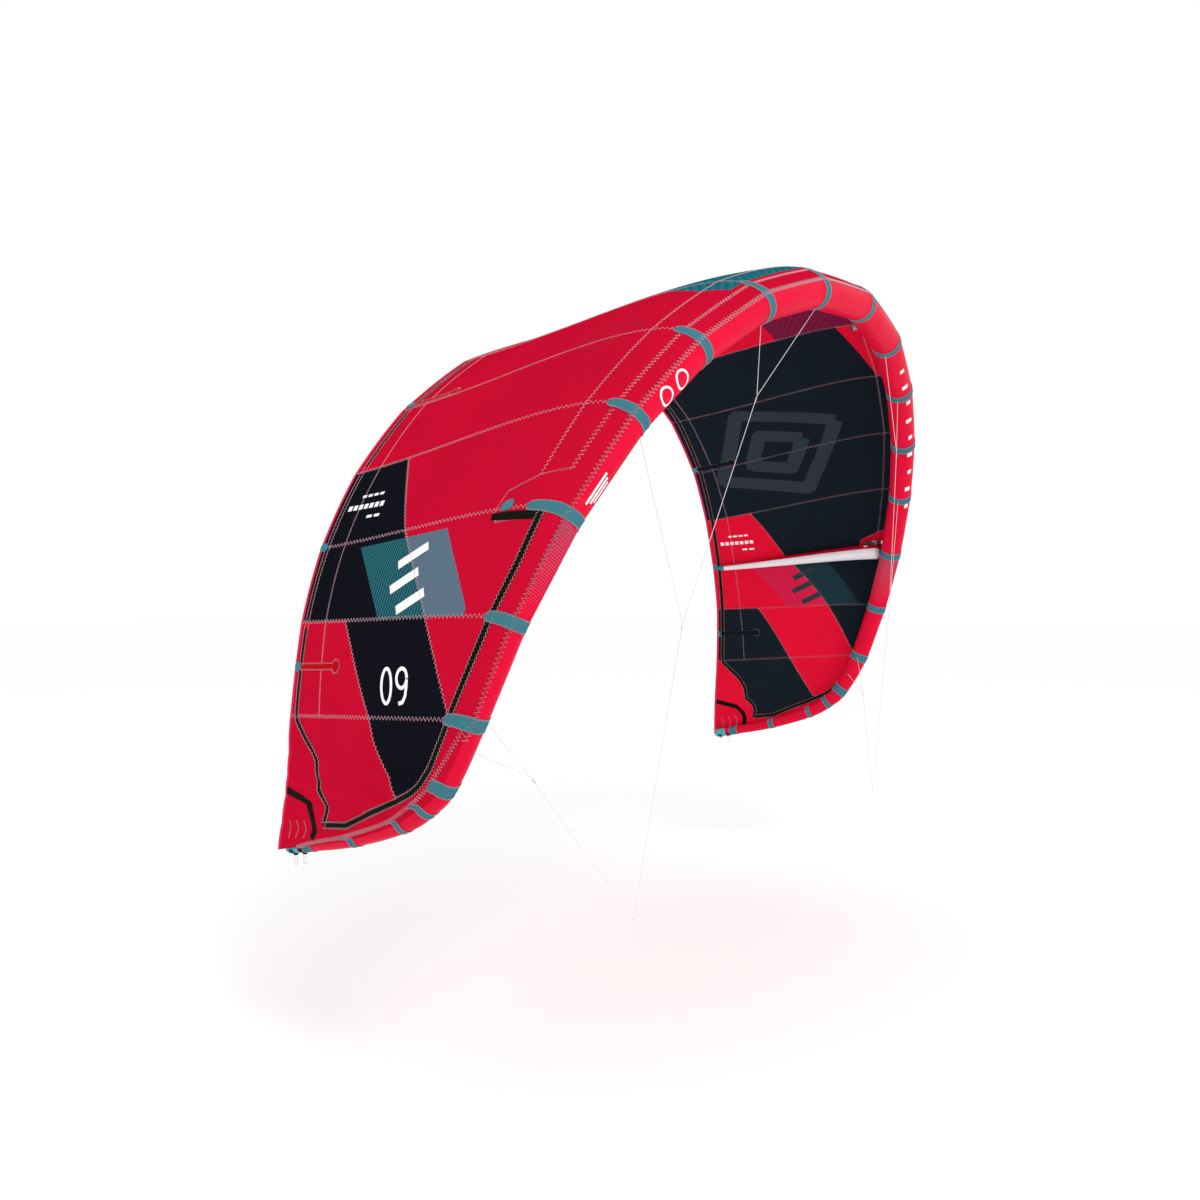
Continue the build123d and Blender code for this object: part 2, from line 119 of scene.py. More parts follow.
def around(x, y, count):
    """Directions evenly round a circle, from x towards y."""
    turn = np.linspace(0, 2 * pi, count + 1)[:-1, None]
    return np.cos(turn) * x + np.sin(turn) * y


def side_of(side):
    """The factor for a right wing's point on the wing with this side."""
    return np.array((side, 1, 1))


# ---- the right wing's seams, as the frame has them ----------------------------------------------
def le_point(angle):
    y = LE_SWEEP * (angle / LE_ANGLES[SWEPT_AT]) ** SWEEP_POWER
    return np.array((LE_HALF_WIDTH * sin(radians(angle)), y, LE_RISE * (cos(radians(angle)) - 1)))


def te_point(angle):
    y = CENTRE_CHORD + TE_SWEEP * (angle / 90) ** 1.5
    level = cos(radians(angle))
    z = TE_CENTRE_Z + TE_RISE * level - TE_FLATTENING * level**2
    return np.array((TE_HALF_WIDTH * sin(radians(angle)), y, z))


def bezier(points, t):
    a, b, c, d = (np.array(p) for p in points)
    return a * (1 - t) ** 3 + b * 3 * t * (1 - t) ** 2 + c * 3 * t**2 * (1 - t) + d * t**3


def wing_seams():
    """The tube's centres and radii, the trailing edge, and the canopy's bulge and lift."""
    tip = (le_point(LE_ANGLES[SWEPT_AT]), TIP_CORNER, TIP_HEEL, TIP_END)
    knots = (*TIP_KNOTS, 1)
    nose = np.array([le_point(a) for a in LE_ANGLES] + [bezier(tip, t) for t in knots])
    drop = TUBE_RADIUS - TUBE_RADIUS_SEAM
    radius = [TUBE_RADIUS - drop * (a / LE_ANGLES[SWEPT_AT]) ** 2 for a in LE_ANGLES]
    radius += [TUBE_RADIUS_SEAM + (TUBE_RADIUS_TIP - TUBE_RADIUS_SEAM) * t for t in knots]
    tails = [te_point(a) for a in TE_ANGLES]
    tails += [tails[SWEPT_AT] + (np.array(TIP_TRAILING) - tails[SWEPT_AT]) * t for t in TIP_TAILS]
    bulge = [CAMBER * (1 - (a / CAMBER_ENDS_AT) ** 2.2) for a in LE_ANGLES]
    bulge += [bulge[SWEPT_AT] * (1 - t) for t in TIP_KNOTS]
    lift = [0.0] * (SWEPT_AT + 1) + [(t / TIP_KNOTS[-1]) ** 3 for t in TIP_KNOTS]
    columns = (np.array(row + row[-1:]) for row in (tails, bulge, lift))
    return nose, np.array(radius), *columns


NOSE, RADIUS, TAIL, BULGE, LIFT = wing_seams()


def wing_axes():
    """At each seam: along the tube towards the tip, and outwards from the chord."""
    before = np.concatenate([[NOSE[1] * MIRROR], NOSE[:-1]])
    after = np.concatenate([NOSE[1:], NOSE[-1:] * 2 - NOSE[-2:-1]])
    along = unit(unit(NOSE - before) + unit(after - NOSE))
    back = unit(TAIL - NOSE)
    out = unit(np.cross(along, back))
    for i in range(SEAM_COUNT, RING_COUNT + 1):
        out[i] = unit(out[SEAM_COUNT - 1] - back[i] * (out[SEAM_COUNT - 1] @ back[i]))
    return along, out


ALONG, OUT = wing_axes()


def between_seams(values, v, share=1.0, mirror=MIRROR):
    """Values between the seams, on straight lines at share 0 and on a smooth curve at share 1."""
    i = np.clip(np.floor(v).astype(int), 0, len(values) - 2)
    f = v - i
    if values.ndim > 1:
        f = f[..., None]
    padded = np.concatenate([values[1:2] * mirror, values, values[-1:] * 2 - values[-2:-1]])
    a, b, c, d = (padded[i + k] for k in range(4))
    straight = b * (1 - f) + c * f
    curve = b + 0.5 * f * (c - a + f * (2 * a - 5 * b + 4 * c - d + f * (3 * (b - c) + d - a)))
    return straight + (curve - straight) * share


def le_share(v):
    """The tube runs nearly straight between seams, and the tip turns in one curve."""
    return np.clip(0.15 + 0.85 * (v - 6.4), 0.15, 1)[..., None]


def flip(v):
    """The factor that turns a right wing's point into the left wing's, where v is below zero."""
    return np.where((v < 0)[..., None], MIRROR, 1.0)


# ---- places on the tube and on the cloth --------------------------------------------------------
def ring(a):
    """The tube's centre, outward and forward directions and radius, on the right wing."""
    centre = between_seams(NOSE, a, le_share(a))
    along = unit(between_seams(ALONG, a, mirror=np.array((1.0, -1.0, -1.0))))
    out = between_seams(OUT, a)
    out = unit(out - along * np.sum(out * along, -1, keepdims=True))
    radius = between_seams(RADIUS, a, 0, 1.0)
    return centre, out, np.cross(along, out), radius


def on_tube(v, angle, height=0.0):
    """The place and direction on the tube, at an angle in degrees forward of its top."""
    v, angle = np.broadcast_arrays(np.asarray(v, float), np.asarray(angle, float))
    a = np.abs(v)
    centre, out, ahead, radius = ring(a)
    puff = 1 + TUBE_PUFF * np.sin(pi * (a % 1)) ** 2
    turn = np.radians(angle)[..., None]
    normal = np.cos(turn) * out + np.sin(turn) * ahead
    place = centre + normal * (radius * puff + height)[..., None]
    return place * flip(v), normal * flip(v)


def joint_angle(v):
    """Where the cloth leaves the tube: forward of its top, and at the tip on its top."""
    return JOINT_ANGLE * np.clip((9.5 - np.abs(v)) / 2.5, 0, 1)


def profile(a, u):
    """The frame's outer face of the canopy."""
    nose, tail = between_seams(NOSE, a, le_share(a)), between_seams(TAIL, a, 0.35)
    out = unit(between_seams(OUT, a))
    lift, bulge = between_seams(LIFT, a, 0, 1.0), between_seams(BULGE, a, 1, 1.0)
    w = np.clip(u, 0, 1)
    height = (between_seams(RADIUS, a, 0, 1.0) + CANOPY_RISE) * (1 - w * (1 - lift))
    height = height + bulge * w**0.6 * (1 - w) ** 2 / BULGE_PEAK
    f = a % 1
    fill = np.sin(pi * f) * PANEL_PUFF * (0.4 + np.sin(pi * w))
    crease = sum(np.exp(-np.abs(a - s) / 0.12) for s in STRUT_SEAMS) * STRUT_CREASE
    height = height + fill - crease * np.sin(pi * w) ** 0.5
    reach = u * (1 + TE_ALLOWANCE * np.exp(-((a - 4.6) / 1.7) ** 2))
    return nose + (tail - nose) * reach[..., None] + out * height[..., None]


def cloth_point(v, u):
    """A place on the canopy's outer face, from the joint on the tube to the trailing edge."""
    a = np.abs(v)
    far = profile(a, np.maximum(u, SETTLED_U))
    start, _ = on_tube(a, joint_angle(a), 0.001)
    _, out, ahead, _ = ring(a)
    turn = np.radians(joint_angle(a))[..., None]
    rise = out * np.sin(turn) - ahead * np.cos(turn)
    step = 0.01
    end = profile(a, np.full_like(a, SETTLED_U))
    onward = unit(profile(a, np.full_like(a, SETTLED_U + step)) - end)
    reach = np.linalg.norm(end - start, axis=-1, keepdims=True)
    t = np.clip((u - JOINT_U) / (SETTLED_U - JOINT_U), 0, 1)[..., None]
    near = start * (1 + 2 * t) * (1 - t) ** 2 + end * t**2 * (3 - 2 * t)
    near = near + (rise * t * (1 - t) ** 2 - onward * t**2 * (1 - t)) * reach
    return np.where((u < SETTLED_U)[..., None], near, far) * flip(v)


class Cloth:
    """The canopy as a grid of places, which its mesh and all that is sewn on it share."""

    def __init__(self):
        self.v = np.linspace(-SEAM_COUNT, SEAM_COUNT, 2 * SEAM_COUNT * COLUMNS + 1)
        t = np.linspace(0, 1, ROWS + 1)
        self.u = JOINT_U + (1 - JOINT_U) * t**1.35
        v, u = np.meshgrid(self.v, self.u, indexing="ij")
        self.places = cloth_point(v, u)
        across = np.gradient(self.places, axis=0)
        down = np.gradient(self.places, axis=1)
        self.normals = unit(np.cross(across, down))
        span = np.linalg.norm(np.diff(self.places, axis=0), axis=-1).mean(1)
        self.spans = np.concatenate([[0], np.cumsum(span)])
        chord = np.linalg.norm(np.diff(self.places, axis=1), axis=-1)
        self.chords = np.concatenate([np.zeros((len(chord), 1)), np.cumsum(chord, axis=1)], axis=1)

    def _cell(self, v, u):
        x = np.interp(v, self.v, np.arange(len(self.v)))
        y = np.interp(u, self.u, np.arange(len(self.u)))
        i = np.minimum(x.astype(int), len(self.v) - 2)
        j = np.minimum(y.astype(int), len(self.u) - 2)
        return i, j, x - i, y - j

    def _read(self, table, v, u):
        i, j, f, g = self._cell(v, u)
        if table.ndim > 2:
            f, g = f[..., None], g[..., None]
        near = table[i, j] * (1 - g) + table[i, j + 1] * g
        far = table[i + 1, j] * (1 - g) + table[i + 1, j + 1] * g
        return near * (1 - f) + far * f

    def outer(self, v, u):
        """Places and outward directions on the outer face."""
        v, u = np.broadcast_arrays(np.asarray(v, float), np.asarray(u, float))
        return self._read(self.places, v, u), unit(self._read(self.normals, v, u))

    def inner(self, v, u):
        """Places and directions on the inner face."""
        place, normal = self.outer(v, u)
        return place - normal * SHEET, -normal

    def metres(self, v, u):
        """The same place on the flat cloth: along the span, down the chord."""
        v, u = np.broadcast_arrays(np.asarray(v, float), np.asarray(u, float))
        span = np.interp(v, self.v, self.spans)
        return np.stack([span, self._read(self.chords, v, u)], -1)


CLOTH_GRID = Cloth()


# ---- materials ----------------------------------------------------------------------------------
def colour(red, green, blue):
    """A screen colour, 0 to 255, as the shader wants it."""
    linear = [(c / 255 + 0.055) / 1.055 for c in (red, green, blue)]
    return [max(x, 0) ** 2.4 if x > 0.09 else x * 1.055 / 12.92 for x in linear] + [1]


class Shader:
    """A Principled material, with short ways to add the nodes that drive it."""

    def __init__(self, name, **sockets):
        self.material = bpy.data.materials.new(name)
        self.material.use_nodes = True
        self.tree = self.material.node_tree
        self.bsdf = self.tree.nodes["Principled BSDF"]
        for socket, value in sockets.items():
            self.bsdf.inputs[socket.replace("_", " ")].default_value = value

    def node(self, kind, inputs=None, **settings):
        made = self.tree.nodes.new("ShaderNode" + kind)
        for name, value in settings.items():
            setattr(made, name, value)
        for name, value in (inputs or {}).items():
            if isinstance(value, bpy.types.NodeSocket):
                self.tree.links.new(value, made.inputs[name])
            else:
                made.inputs[name].default_value = value
        return made

    def math(self, operation, a, b=0.0):
        return self.node("Math", {0: a, 1: b}, operation=operation).outputs[0]

    def spread(self, value, low, high):
        """The value from 0 to 1, stretched to run from low to high."""
        return self.node("MapRange", {"Value": value, "To Min": low, "To Max": high}).outputs[0]

    def mix(self, factor, a, b):
        made = self.node("Mix", {"Factor": factor}, data_type="RGBA")
        for socket, value in zip((made.inputs[6], made.inputs[7]), (a, b)):
            if isinstance(value, bpy.types.NodeSocket):
                self.tree.links.new(value, socket)
            else:
                socket.default_value = value
        return made.outputs[2]

    def noise(self, where, scale, detail=3.0):
        return self.node("TexNoise", {"Vector": where, "Scale": scale, "Detail": detail}).outputs[0]

    def uv(self):
        return self.node("UVMap", uv_map="cloth").outputs[0]

    def place(self):
        return self.node("TexCoord").outputs["Object"]

    def drive(self, socket, value):
        self.tree.links.new(value, self.bsdf.inputs[socket])

    def bump(self, height, strength, distance):
        made = self.node("Bump", {"Height": height, "Strength": strength, "Distance": distance})
        self.drive("Normal", made.outputs[0])


def shades(base, low, high):
    """A darker and a lighter shade of a colour."""
    return [c * low for c in base[:3]] + [1], [min(c * high, 1) for c in base[:3]] + [1]


def ripstop(name, base, rough=0.5, grid=0.012, contrast=0.7, gloss=0.0):
    """Ripstop cloth: a fine weave with a square grid of thicker threads, and soft creases."""
    s = Shader(name, Specular_IOR_Level=gloss)
    uv, place = s.uv(), s.place()
    parts = s.node("SeparateXYZ", {0: uv})
    lines = []
    for axis in (0, 1):
        phase = s.math("FRACT", s.math("MULTIPLY", parts.outputs[axis], 1 / grid))
        lines.append(s.math("LESS_THAN", phase, 0.16))
    threads = s.math("MAXIMUM", *lines)
    dark, light = shades(base, 0.84, 1.14)
    broad = s.noise(place, 2.1, 5.0)
    tone = s.mix(s.spread(broad, 0, 1), dark, light)
    tone = s.mix(s.math("MULTIPLY", threads, 0.45), tone, shades(base, contrast, 1)[0])
    fade = s.math("GREATER_THAN", s.noise(place, 46, 5.0), 0.66)
    tone = s.mix(s.math("MULTIPLY", fade, 0.10), tone, shades(base, 1, 1.5)[1])
    s.drive("Base Color", tone)
    s.drive("Roughness", s.spread(s.noise(place, 9), rough - 0.08, rough + 0.1))
    weave = s.math("MULTIPLY", s.noise(uv, 900, 1.0), 0.3)
    creases = s.math("MULTIPLY", s.noise(place, 7.0, 3.0), 9.0)
    s.bump(s.math("ADD", s.math("ADD", threads, weave), creases), 0.5, 0.0016)
    return s.material


def striped(name, under, over, stripe, angle, share, rough=0.5, fade=None):
    """Printed cloth whose stripes thin out from one side of the print to the other."""
    s = Shader(name, Specular_IOR_Level=0.0)
    uv, place = s.uv(), s.place()
    turned = s.node("VectorRotate", {"Vector": uv, "Angle": radians(angle)}, rotation_type="Z_AXIS")
    parts = s.node("SeparateXYZ", {0: turned.outputs[0]})
    wobble = s.math("MULTIPLY", s.noise(uv, 2.2, 1.0), 3.0)
    phase = s.math("ADD", s.math("MULTIPLY", parts.outputs[0], 1 / stripe), wobble)
    if fade:
        height = s.node("SeparateXYZ", {0: place}).outputs[2]
        ramp = s.node("MapRange", {"Value": height, "From Min": fade[0], "From Max": fade[1]})
        share = s.math("MULTIPLY", ramp.outputs[0], share)
    line = s.math("LESS_THAN", s.math("FRACT", phase), share)
    tone = s.mix(line, under, over)
    dark, light = shades([1, 1, 1], 0.9, 1.0)
    tint = s.node("Mix", {"Factor": 1.0}, data_type="RGBA", blend_type="MULTIPLY")
    s.tree.links.new(tone, tint.inputs[6])
    s.tree.links.new(s.mix(s.noise(place, 3.0), dark, light), tint.inputs[7])
    s.drive("Base Color", tint.outputs[2])
    s.drive("Roughness", s.spread(s.noise(place, 12), rough - 0.05, rough + 0.1))
    s.bump(s.noise(uv, 700, 1.0), 0.25, 0.0006)
    return s.material


def webbing(name, base, rough=0.6, pitch=0.0025):
    """Woven tape: diagonal ribs of thread, lighter along the ribs in patches."""
    s = Shader(name, Specular_IOR_Level=0.02)
    uv, place = s.uv(), s.place()
    turned = s.node("VectorRotate", {"Vector": uv, "Angle": radians(38)}, rotation_type="Z_AXIS")
    parts = s.node("SeparateXYZ", {0: turned.outputs[0]})
    rib = s.math("SINE", s.math("MULTIPLY", parts.outputs[0], 2 * pi / pitch))
    rib = s.spread(rib, 0.25, 0.75)
    dark, light = shades(base, 0.8, 1.22)
    s.drive("Base Color", s.mix(s.math("MULTIPLY", s.noise(place, 22, 4.0), rib), dark, light))
    s.drive("Roughness", s.spread(s.noise(place, 30), rough - 0.1, rough + 0.1))
    s.bump(s.math("ADD", rib, s.noise(uv, 300, 2.0)), 0.4, 0.0006)
    return s.material


def moulded(name, base, rough=0.4, grain=350.0, **sockets):
    """Moulded plastic: fine grain, faint mottling and scuffs."""
    s = Shader(name, Specular_IOR_Level=0.5, **sockets)
    place = s.place()
    dark, light = shades(base, 0.88, 1.1)
    scuffs = s.math("GREATER_THAN", s.noise(place, 120, 6.0), 0.62)
    tone = s.mix(s.noise(place, 14), dark, light)
    s.drive("Base Color", s.mix(s.math("MULTIPLY", scuffs, 0.25), tone, shades(base, 1, 1.35)[1]))
    s.drive("Roughness", s.spread(s.noise(place, 60), rough - 0.08, rough + 0.12))
    s.bump(s.noise(place, grain, 2.0), 0.2, 0.0004)
    return s.material


def braid(name, base, pitch=0.004):
    """Braided line: two families of strands that cross round it."""
    s = Shader(name, Specular_IOR_Level=0.4, Sheen_Weight=0.2)
    place = s.place()
    waves = [
        s.node("TexWave", {"Vector": place, "Scale": 1 / pitch, "Distortion": 0.4},
               bands_direction=axis).outputs["Fac"]
        for axis in ("DIAGONAL", "Z")
    ]
    strands = s.math("MULTIPLY", *waves)
    dark, light = shades(base, 0.7, 1.05)
    s.drive("Base Color", s.mix(strands, dark, light))
    s.drive("Roughness", s.spread(s.noise(place, 80), 0.5, 0.7))
    s.bump(strands, 0.4, 0.0004)
    return s.material


RED_OUT = colour(190, 0, 46)
# Inner faces are lighter than the outer ones: painted light shining through the thin cloth.
RED_INNER_LIT_THROUGH = colour(222, 8, 52)
BLACK_OUT = colour(2, 16, 23)
BLACK_INNER_LIT_THROUGH = colour(22, 30, 38)
TEAL = colour(62, 118, 130)
TUBE_RED = colour(218, 0, 54)


def look(slot, maker, *values, **settings):
    """A material's slot and how it is made."""
    return slot, maker, values, settings


LOOKS = {
    "canopy_red": look("canopy_red", ripstop, RED_OUT),
    "canopy_black": look("canopy_black", ripstop, BLACK_OUT, contrast=2.4),
    "canopy_print_red": look("canopy_red", striped, colour(120, 90, 115), TEAL, 0.015, 24, 0.6),
    "canopy_print_black": look(
        "canopy_black", striped, colour(22, 62, 72), colour(48, 108, 118), 0.016, 82, 0.5),
    "canopy_centre_print": look(
        "canopy_red", striped, colour(24, 92, 104), colour(34, 104, 116), 0.03, 60, 0.5),
    # The inner faces, with the prints as they show through the cloth: painted light shining through from
    # outside.
    "canopy_red_inner": look("canopy_red", ripstop, RED_INNER_LIT_THROUGH, rough=0.6),
    "canopy_black_inner": look("canopy_black", ripstop, BLACK_INNER_LIT_THROUGH, rough=0.6, contrast=1.4),
    "canopy_print_red_inner": look(
        "canopy_red", striped, colour(214, 30, 66), colour(196, 34, 76), 0.015, 24, 0.6),
    "canopy_print_black_inner": look(
        "canopy_black", striped, colour(27, 46, 54), colour(31, 60, 68), 0.016, 82, 0.5),
    "canopy_centre_print_inner": look(
        "canopy_red", striped, colour(110, 26, 58), colour(122, 30, 64), 0.03, 60, 0.5),
    "tube_red": look("tube_red", ripstop, TUBE_RED, rough=0.32, grid=0.006, contrast=0.9, gloss=0.03),
    "tube_print": look(
        "tube_red", striped, TUBE_RED, colour(86, 104, 124), 0.010, 8, 0.8, fade=(-1.45, -0.80)),
    "band_teal": look("band_teal", webbing, TEAL),
    "tape_black": look("edge_tape", webbing, colour(7, 9, 12)),
    "tape_pink": look("edge_tape", webbing, colour(228, 40, 84)),
    "tape_teal": look("band_teal", webbing, colour(82, 172, 186)),
    "patch_red": look("canopy_red", ripstop, colour(176, 0, 30), rough=0.6),
    "patch_black": look("canopy_black", ripstop, colour(18, 25, 32), rough=0.6, contrast=1.5),
    "thread": look("line_white", braid, colour(240, 184, 198), 0.002),
    "print_white": look("line_white", ripstop, colour(244, 244, 244), rough=0.45, contrast=0.9),
    "print_grey": look("canopy_black", ripstop, colour(48, 56, 64), rough=0.5, contrast=0.85),
    "print_tonal": look("canopy_red", ripstop, colour(180, 10, 48), rough=0.5),
    "strut_white": look("strut_white", ripstop, colour(226, 226, 230), rough=0.45, contrast=0.9),
    "strut_red": look("canopy_red", ripstop, colour(214, 10, 50), rough=0.5),
    "cap_teal": look("band_teal", webbing, colour(62, 128, 142)),
    "bladder": look("bladder", moulded, colour(196, 208, 214), rough=0.25, Transmission_Weight=0.35),
    "batten": look("batten", moulded, colour(222, 216, 190), rough=0.35),
    "hose": look("hose", moulded, colour(40, 30, 30), rough=0.5),
    "collar": look("strut_white", moulded, colour(236, 236, 236), rough=0.4),
    "clip_grey": look("valve_grey", moulded, colour(176, 182, 190), rough=0.38),
    "valve_grey": look("valve_grey", moulded, colour(150, 156, 164), rough=0.42),
    "valve_black": look("valve_black", moulded, colour(18, 19, 22), rough=0.45),
    "line_white": look("line_white", braid, colour(240, 240, 240)),
}
MATERIALS = {
    name: maker(name, *values, **settings) for name, (_, maker, values, settings) in LOOKS.items()
}


# ---- mesh helpers -------------------------------------------------------------------------------
def add_object(name, data):
    """A new object in the scene."""
    made = bpy.data.objects.new(name, data)
    bpy.context.scene.collection.objects.link(made)
    return made


class Mesh:
    """Collects the points, faces and places on the flat cloth of one piece."""

    def __init__(self):
        self.points, self.uvs, self.faces = [], [], []

    def add(self, points, faces, uvs=None):
        start = len(self.points)
        self.points += [tuple(map(float, p)) for p in points]
        self.uvs += [tuple(map(float, p)) for p in (points if uvs is None else uvs)]
        self.faces += [tuple(start + int(i) for i in face) for face in faces]

    def build(self, name, *materials, body="kite"):
        """Makes the piece, with all its faces turned outwards."""
        data = bpy.data.meshes.new(name)
        data.from_pydata(self.points, [], self.faces)
        layer = data.uv_layers.new(name="cloth")
        corners = np.empty(len(data.loops), int)
        data.loops.foreach_get("vertex_index", corners)
        uvs = np.array([p[:2] for p in self.uvs], np.float32)[corners]
        layer.data.foreach_set("uv", uvs.ravel())
        data.polygons.foreach_set("use_smooth", [True] * len(data.polygons))
        shell = bmesh.new()
        shell.from_mesh(data)
        bmesh.ops.recalc_face_normals(shell, faces=shell.faces)
        shell.to_mesh(data)
        shell.free()
        piece = add_object(name, data)
        for material in materials:
            data.materials.append(MATERIALS[material])
        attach(piece, body)
        return piece


def grid_faces(rows, columns, closed=False):
    """The quads of a grid of points, whose columns may close into a ring."""
    last = columns if closed else columns - 1
    return [
        (i * columns + j, (i + 1) * columns + j, (i + 1) * columns + (j + 1) % columns,
         i * columns + (j + 1) % columns)
        for i in range(rows - 1) for j in range(last)
    ]


def tube_faces(rows, columns):
    """The quads of a closed tube, and a face over each end."""
    last = (rows - 1) * columns
    ends = [tuple(range(columns)), tuple(range(last, last + columns))]
    return grid_faces(rows, columns, closed=True) + ends


EDGE_HEIGHT = 0.35  # of a strip's thickness, left at its edge
THREAD = 0.0018  # thickness of the thinnest stitching
STRIP_COLUMNS = np.array((-1, -0.86, 0, 0.86, 1))  # across half a strip's width


def add_slab(mesh, places, normals, thickness):
    """A closed strip of cloth on a surface: a grid of places raised by its thickness."""
    rows, columns = places.shape[:2]
    height = np.full((rows, columns), thickness)
    for border in (height[0], height[-1], height[:, 0], height[:, -1]):
        border[:] = thickness * EDGE_HEIGHT
    across = np.linalg.norm(places - places[:, :1], axis=-1)
    down = np.broadcast_to(distances(places[:, 0])[:, None], across.shape)
    flat = np.stack([across, down], -1).reshape(-1, 2)
    count = rows * columns
    upper = grid_faces(rows, columns)
    lower = [tuple(k + count for k in reversed(face)) for face in upper]
    loop = [*range(columns), *range(2 * columns - 1, count, columns),
            *range(count - 2, count - columns - 1, -1), *range(count - 2 * columns, 0, -columns)]
    sides = [(a, b, b + count, a + count) for a, b in zip(loop, loop[1:] + loop[:1])]
    points = np.concatenate([places + normals * height[..., None], places]).reshape(-1, 3)
    mesh.add(points, upper + lower + sides, np.concatenate([flat, flat]))


def resample(places, normals, step):
    """Evenly spaced places along a line, with their directions."""
    along = distances(places)
    at = np.linspace(0, along[-1], max(2, int(round(along[-1] / step)) + 1))
    both = [np.stack([np.interp(at, along, a[:, k]) for k in range(3)], -1) for a in (places, normals)]
    return both[0], unit(both[1])


def track(route, surface, step=0.012):
    """Places and directions along straight lines between coordinates on a surface."""
    route = np.array(route, float)
    pieces = [np.linspace(a, b, 25)[:-1] for a, b in zip(route, route[1:])]
    fine = np.concatenate([*pieces, route[-1:]])
    return resample(*surface(fine[:, 0], fine[:, 1]), step)


def sideways(places, normals):
    """The direction across a line on a surface."""
    return unit(np.cross(normals, unit(np.gradient(places, axis=0))))


def add_ribbon(mesh, route, surface, width, thickness=0.0009, lift=0.0002, ends=None, step=0.012, crown=0.0):
    """A strip of tape along a route. Its width is one number, or one for each share of its length."""
    places, normals = track(route, surface, step)
    across = sideways(places, normals)
    share = np.linspace(0, 1, len(places))
    half = np.interp(share, np.linspace(0, 1, len(np.atleast_1d(width))), np.atleast_1d(width)) / 2
    if ends == "round":
        near = np.minimum(share, 1 - share) * distances(places)[-1] / half
        half = half * np.sqrt(1 - (1 - np.clip(near, 0.02, 1)) ** 2)
    rows = places[:, None] + across[:, None] * (half[:, None] * STRIP_COLUMNS)[..., None]
    rows = rows + normals[:, None] * (lift + crown * (1 - STRIP_COLUMNS**4))[None, :, None]
    add_slab(mesh, rows, np.repeat(normals[:, None], len(STRIP_COLUMNS), 1), thickness)


def add_thread(mesh, points, normals, thickness):
    """A thread through the points: a closed strip with a three-sided section."""
    across = np.cross(normals, unit(np.gradient(points, axis=0))) * thickness / 2
    low = points - normals * thickness * 0.3
    section = np.stack([low - across, low + across, points + normals * thickness * 0.6], 1)
    mesh.add(section.reshape(-1, 3), tube_faces(len(points), 3))


def add_swings(mesh, places, normals, across, swing, thickness=THREAD):
    """A thread that goes from side to side of a line."""
    sign = np.where(np.arange(len(places)) % 2, 1, -1)[:, None]
    add_thread(mesh, places + across * sign * swing, normals, thickness)


def add_zigzag(mesh, route, surface, width, pitch, thickness=THREAD, shift=0.0, lift=0.0004):
    """A zigzag stitch along a route, or beside it."""
    places, normals = track(route, surface, pitch / 2)
    across = sideways(places, normals)
    add_swings(mesh, places + across * shift + normals * lift, normals, across, width / 2, thickness)


def raised(surface, height):
    """The same surface, a little further out."""
    def lifted(a, b):
        place, normal = surface(a, b)
        return place + normal * height, normal
    return lifted


OUTER, INNER = CLOTH_GRID.outer, CLOTH_GRID.inner
FACES = {"outer": OUTER, "inner": INNER}
SIDES = {"left": -1, "right": 1}


def wing(route, side):
    """A route given for the right wing, on either wing."""
    return [(v * side, u) for v, u in route]


# ---- camera, light and floor --------------------------------------------------------------------
CAMERA_PLACE = Vector((-4.631, -1.526, -1.355))
CAMERA_HEADING = Vector((0.841, 0.541, -0.007))
FLOOR_Z = CAD_LOW.z - 0.75


LAMPS_AIM = Vector((0, 0.8, -1.2))
LAMPS = (  # name, place, size, power
    ("key", (-5.0, -5.0, 5.5), 2.6, 230),
    ("fill", (-6.0, 3.5, -1.0), 4.0, 30),
    ("inner", (-1.5, -5.5, -1.2), 2.0, 60),
)
FLOOR_REACH = 60


def make_stage():
    scene = bpy.context.scene
    camera = add_object("camera", bpy.data.cameras.new("camera"))
    camera.location = CAMERA_PLACE
    camera.rotation_euler = CAMERA_HEADING.to_track_quat("-Z", "Y").to_euler()
    camera.data.lens = 30
    camera.data.clip_end = 200
    scene.camera = camera
    world = bpy.data.worlds.new("studio")
    world.use_nodes = True
    background = world.node_tree.nodes["Background"]
    background.inputs["Color"].default_value = (1, 1, 1, 1)
    background.inputs["Strength"].default_value = 1.0
    scene.world = world
    scene.view_settings.view_transform = "Standard"
    for name, place, size, power in LAMPS:
        lamp = add_object(name, bpy.data.lights.new(name, "AREA"))
        lamp.data.shape, lamp.data.size, lamp.data.energy = "DISK", size, power
        lamp.location = place
        lamp.rotation_euler = (LAMPS_AIM - Vector(place)).to_track_quat("-Z", "Y").to_euler()
    floor = bpy.data.meshes.new("floor")
    corners = [(x * FLOOR_REACH, y * FLOOR_REACH, FLOOR_Z) for x, y in ((-1, -1), (1, -1), (1, 1), (-1, 1))]
    floor.from_pydata(corners, [], [(0, 1, 2, 3)])
    paint = Shader("floor", Base_Color=(0.985, 0.985, 0.985, 1), Roughness=1.0, Specular_IOR_Level=0.0)
    floor.materials.append(paint.material)
    add_object("floor", floor)


# ---- bridle lines and back line loops -----------------------------------------------------------
BRIDLE_KNOTS = {
    "upper": (0.951, 0.101, -0.574),
    "outer": (1.303, 0.246, -1.472),
    "lower": (1.432, 0.384, -2.572),
    "tip": (1.816, 0.572, -2.002),
}
BAND_WALL = 0.0012
KNOT_RADIUS = 0.005
KNOT_TURNS = (((1, 0, 0.3), 0.0028), ((0, 1, 0.2), 0.003), ((0.4, 0.3, 1), 0.0026))  # axes and radii
KNOT_POINTS = 18
NEAR_KNOT = 6 * LINE  # from a knot to the point that keeps the run beside it straight
WHIPPING = (0.006, 0.022)
LOOP_DROP = 0.042
LOOP_GAP = 0.014
LOOP_CLEAR = 0.008
LOOP_SHIFTS = (-0.095, -0.035)


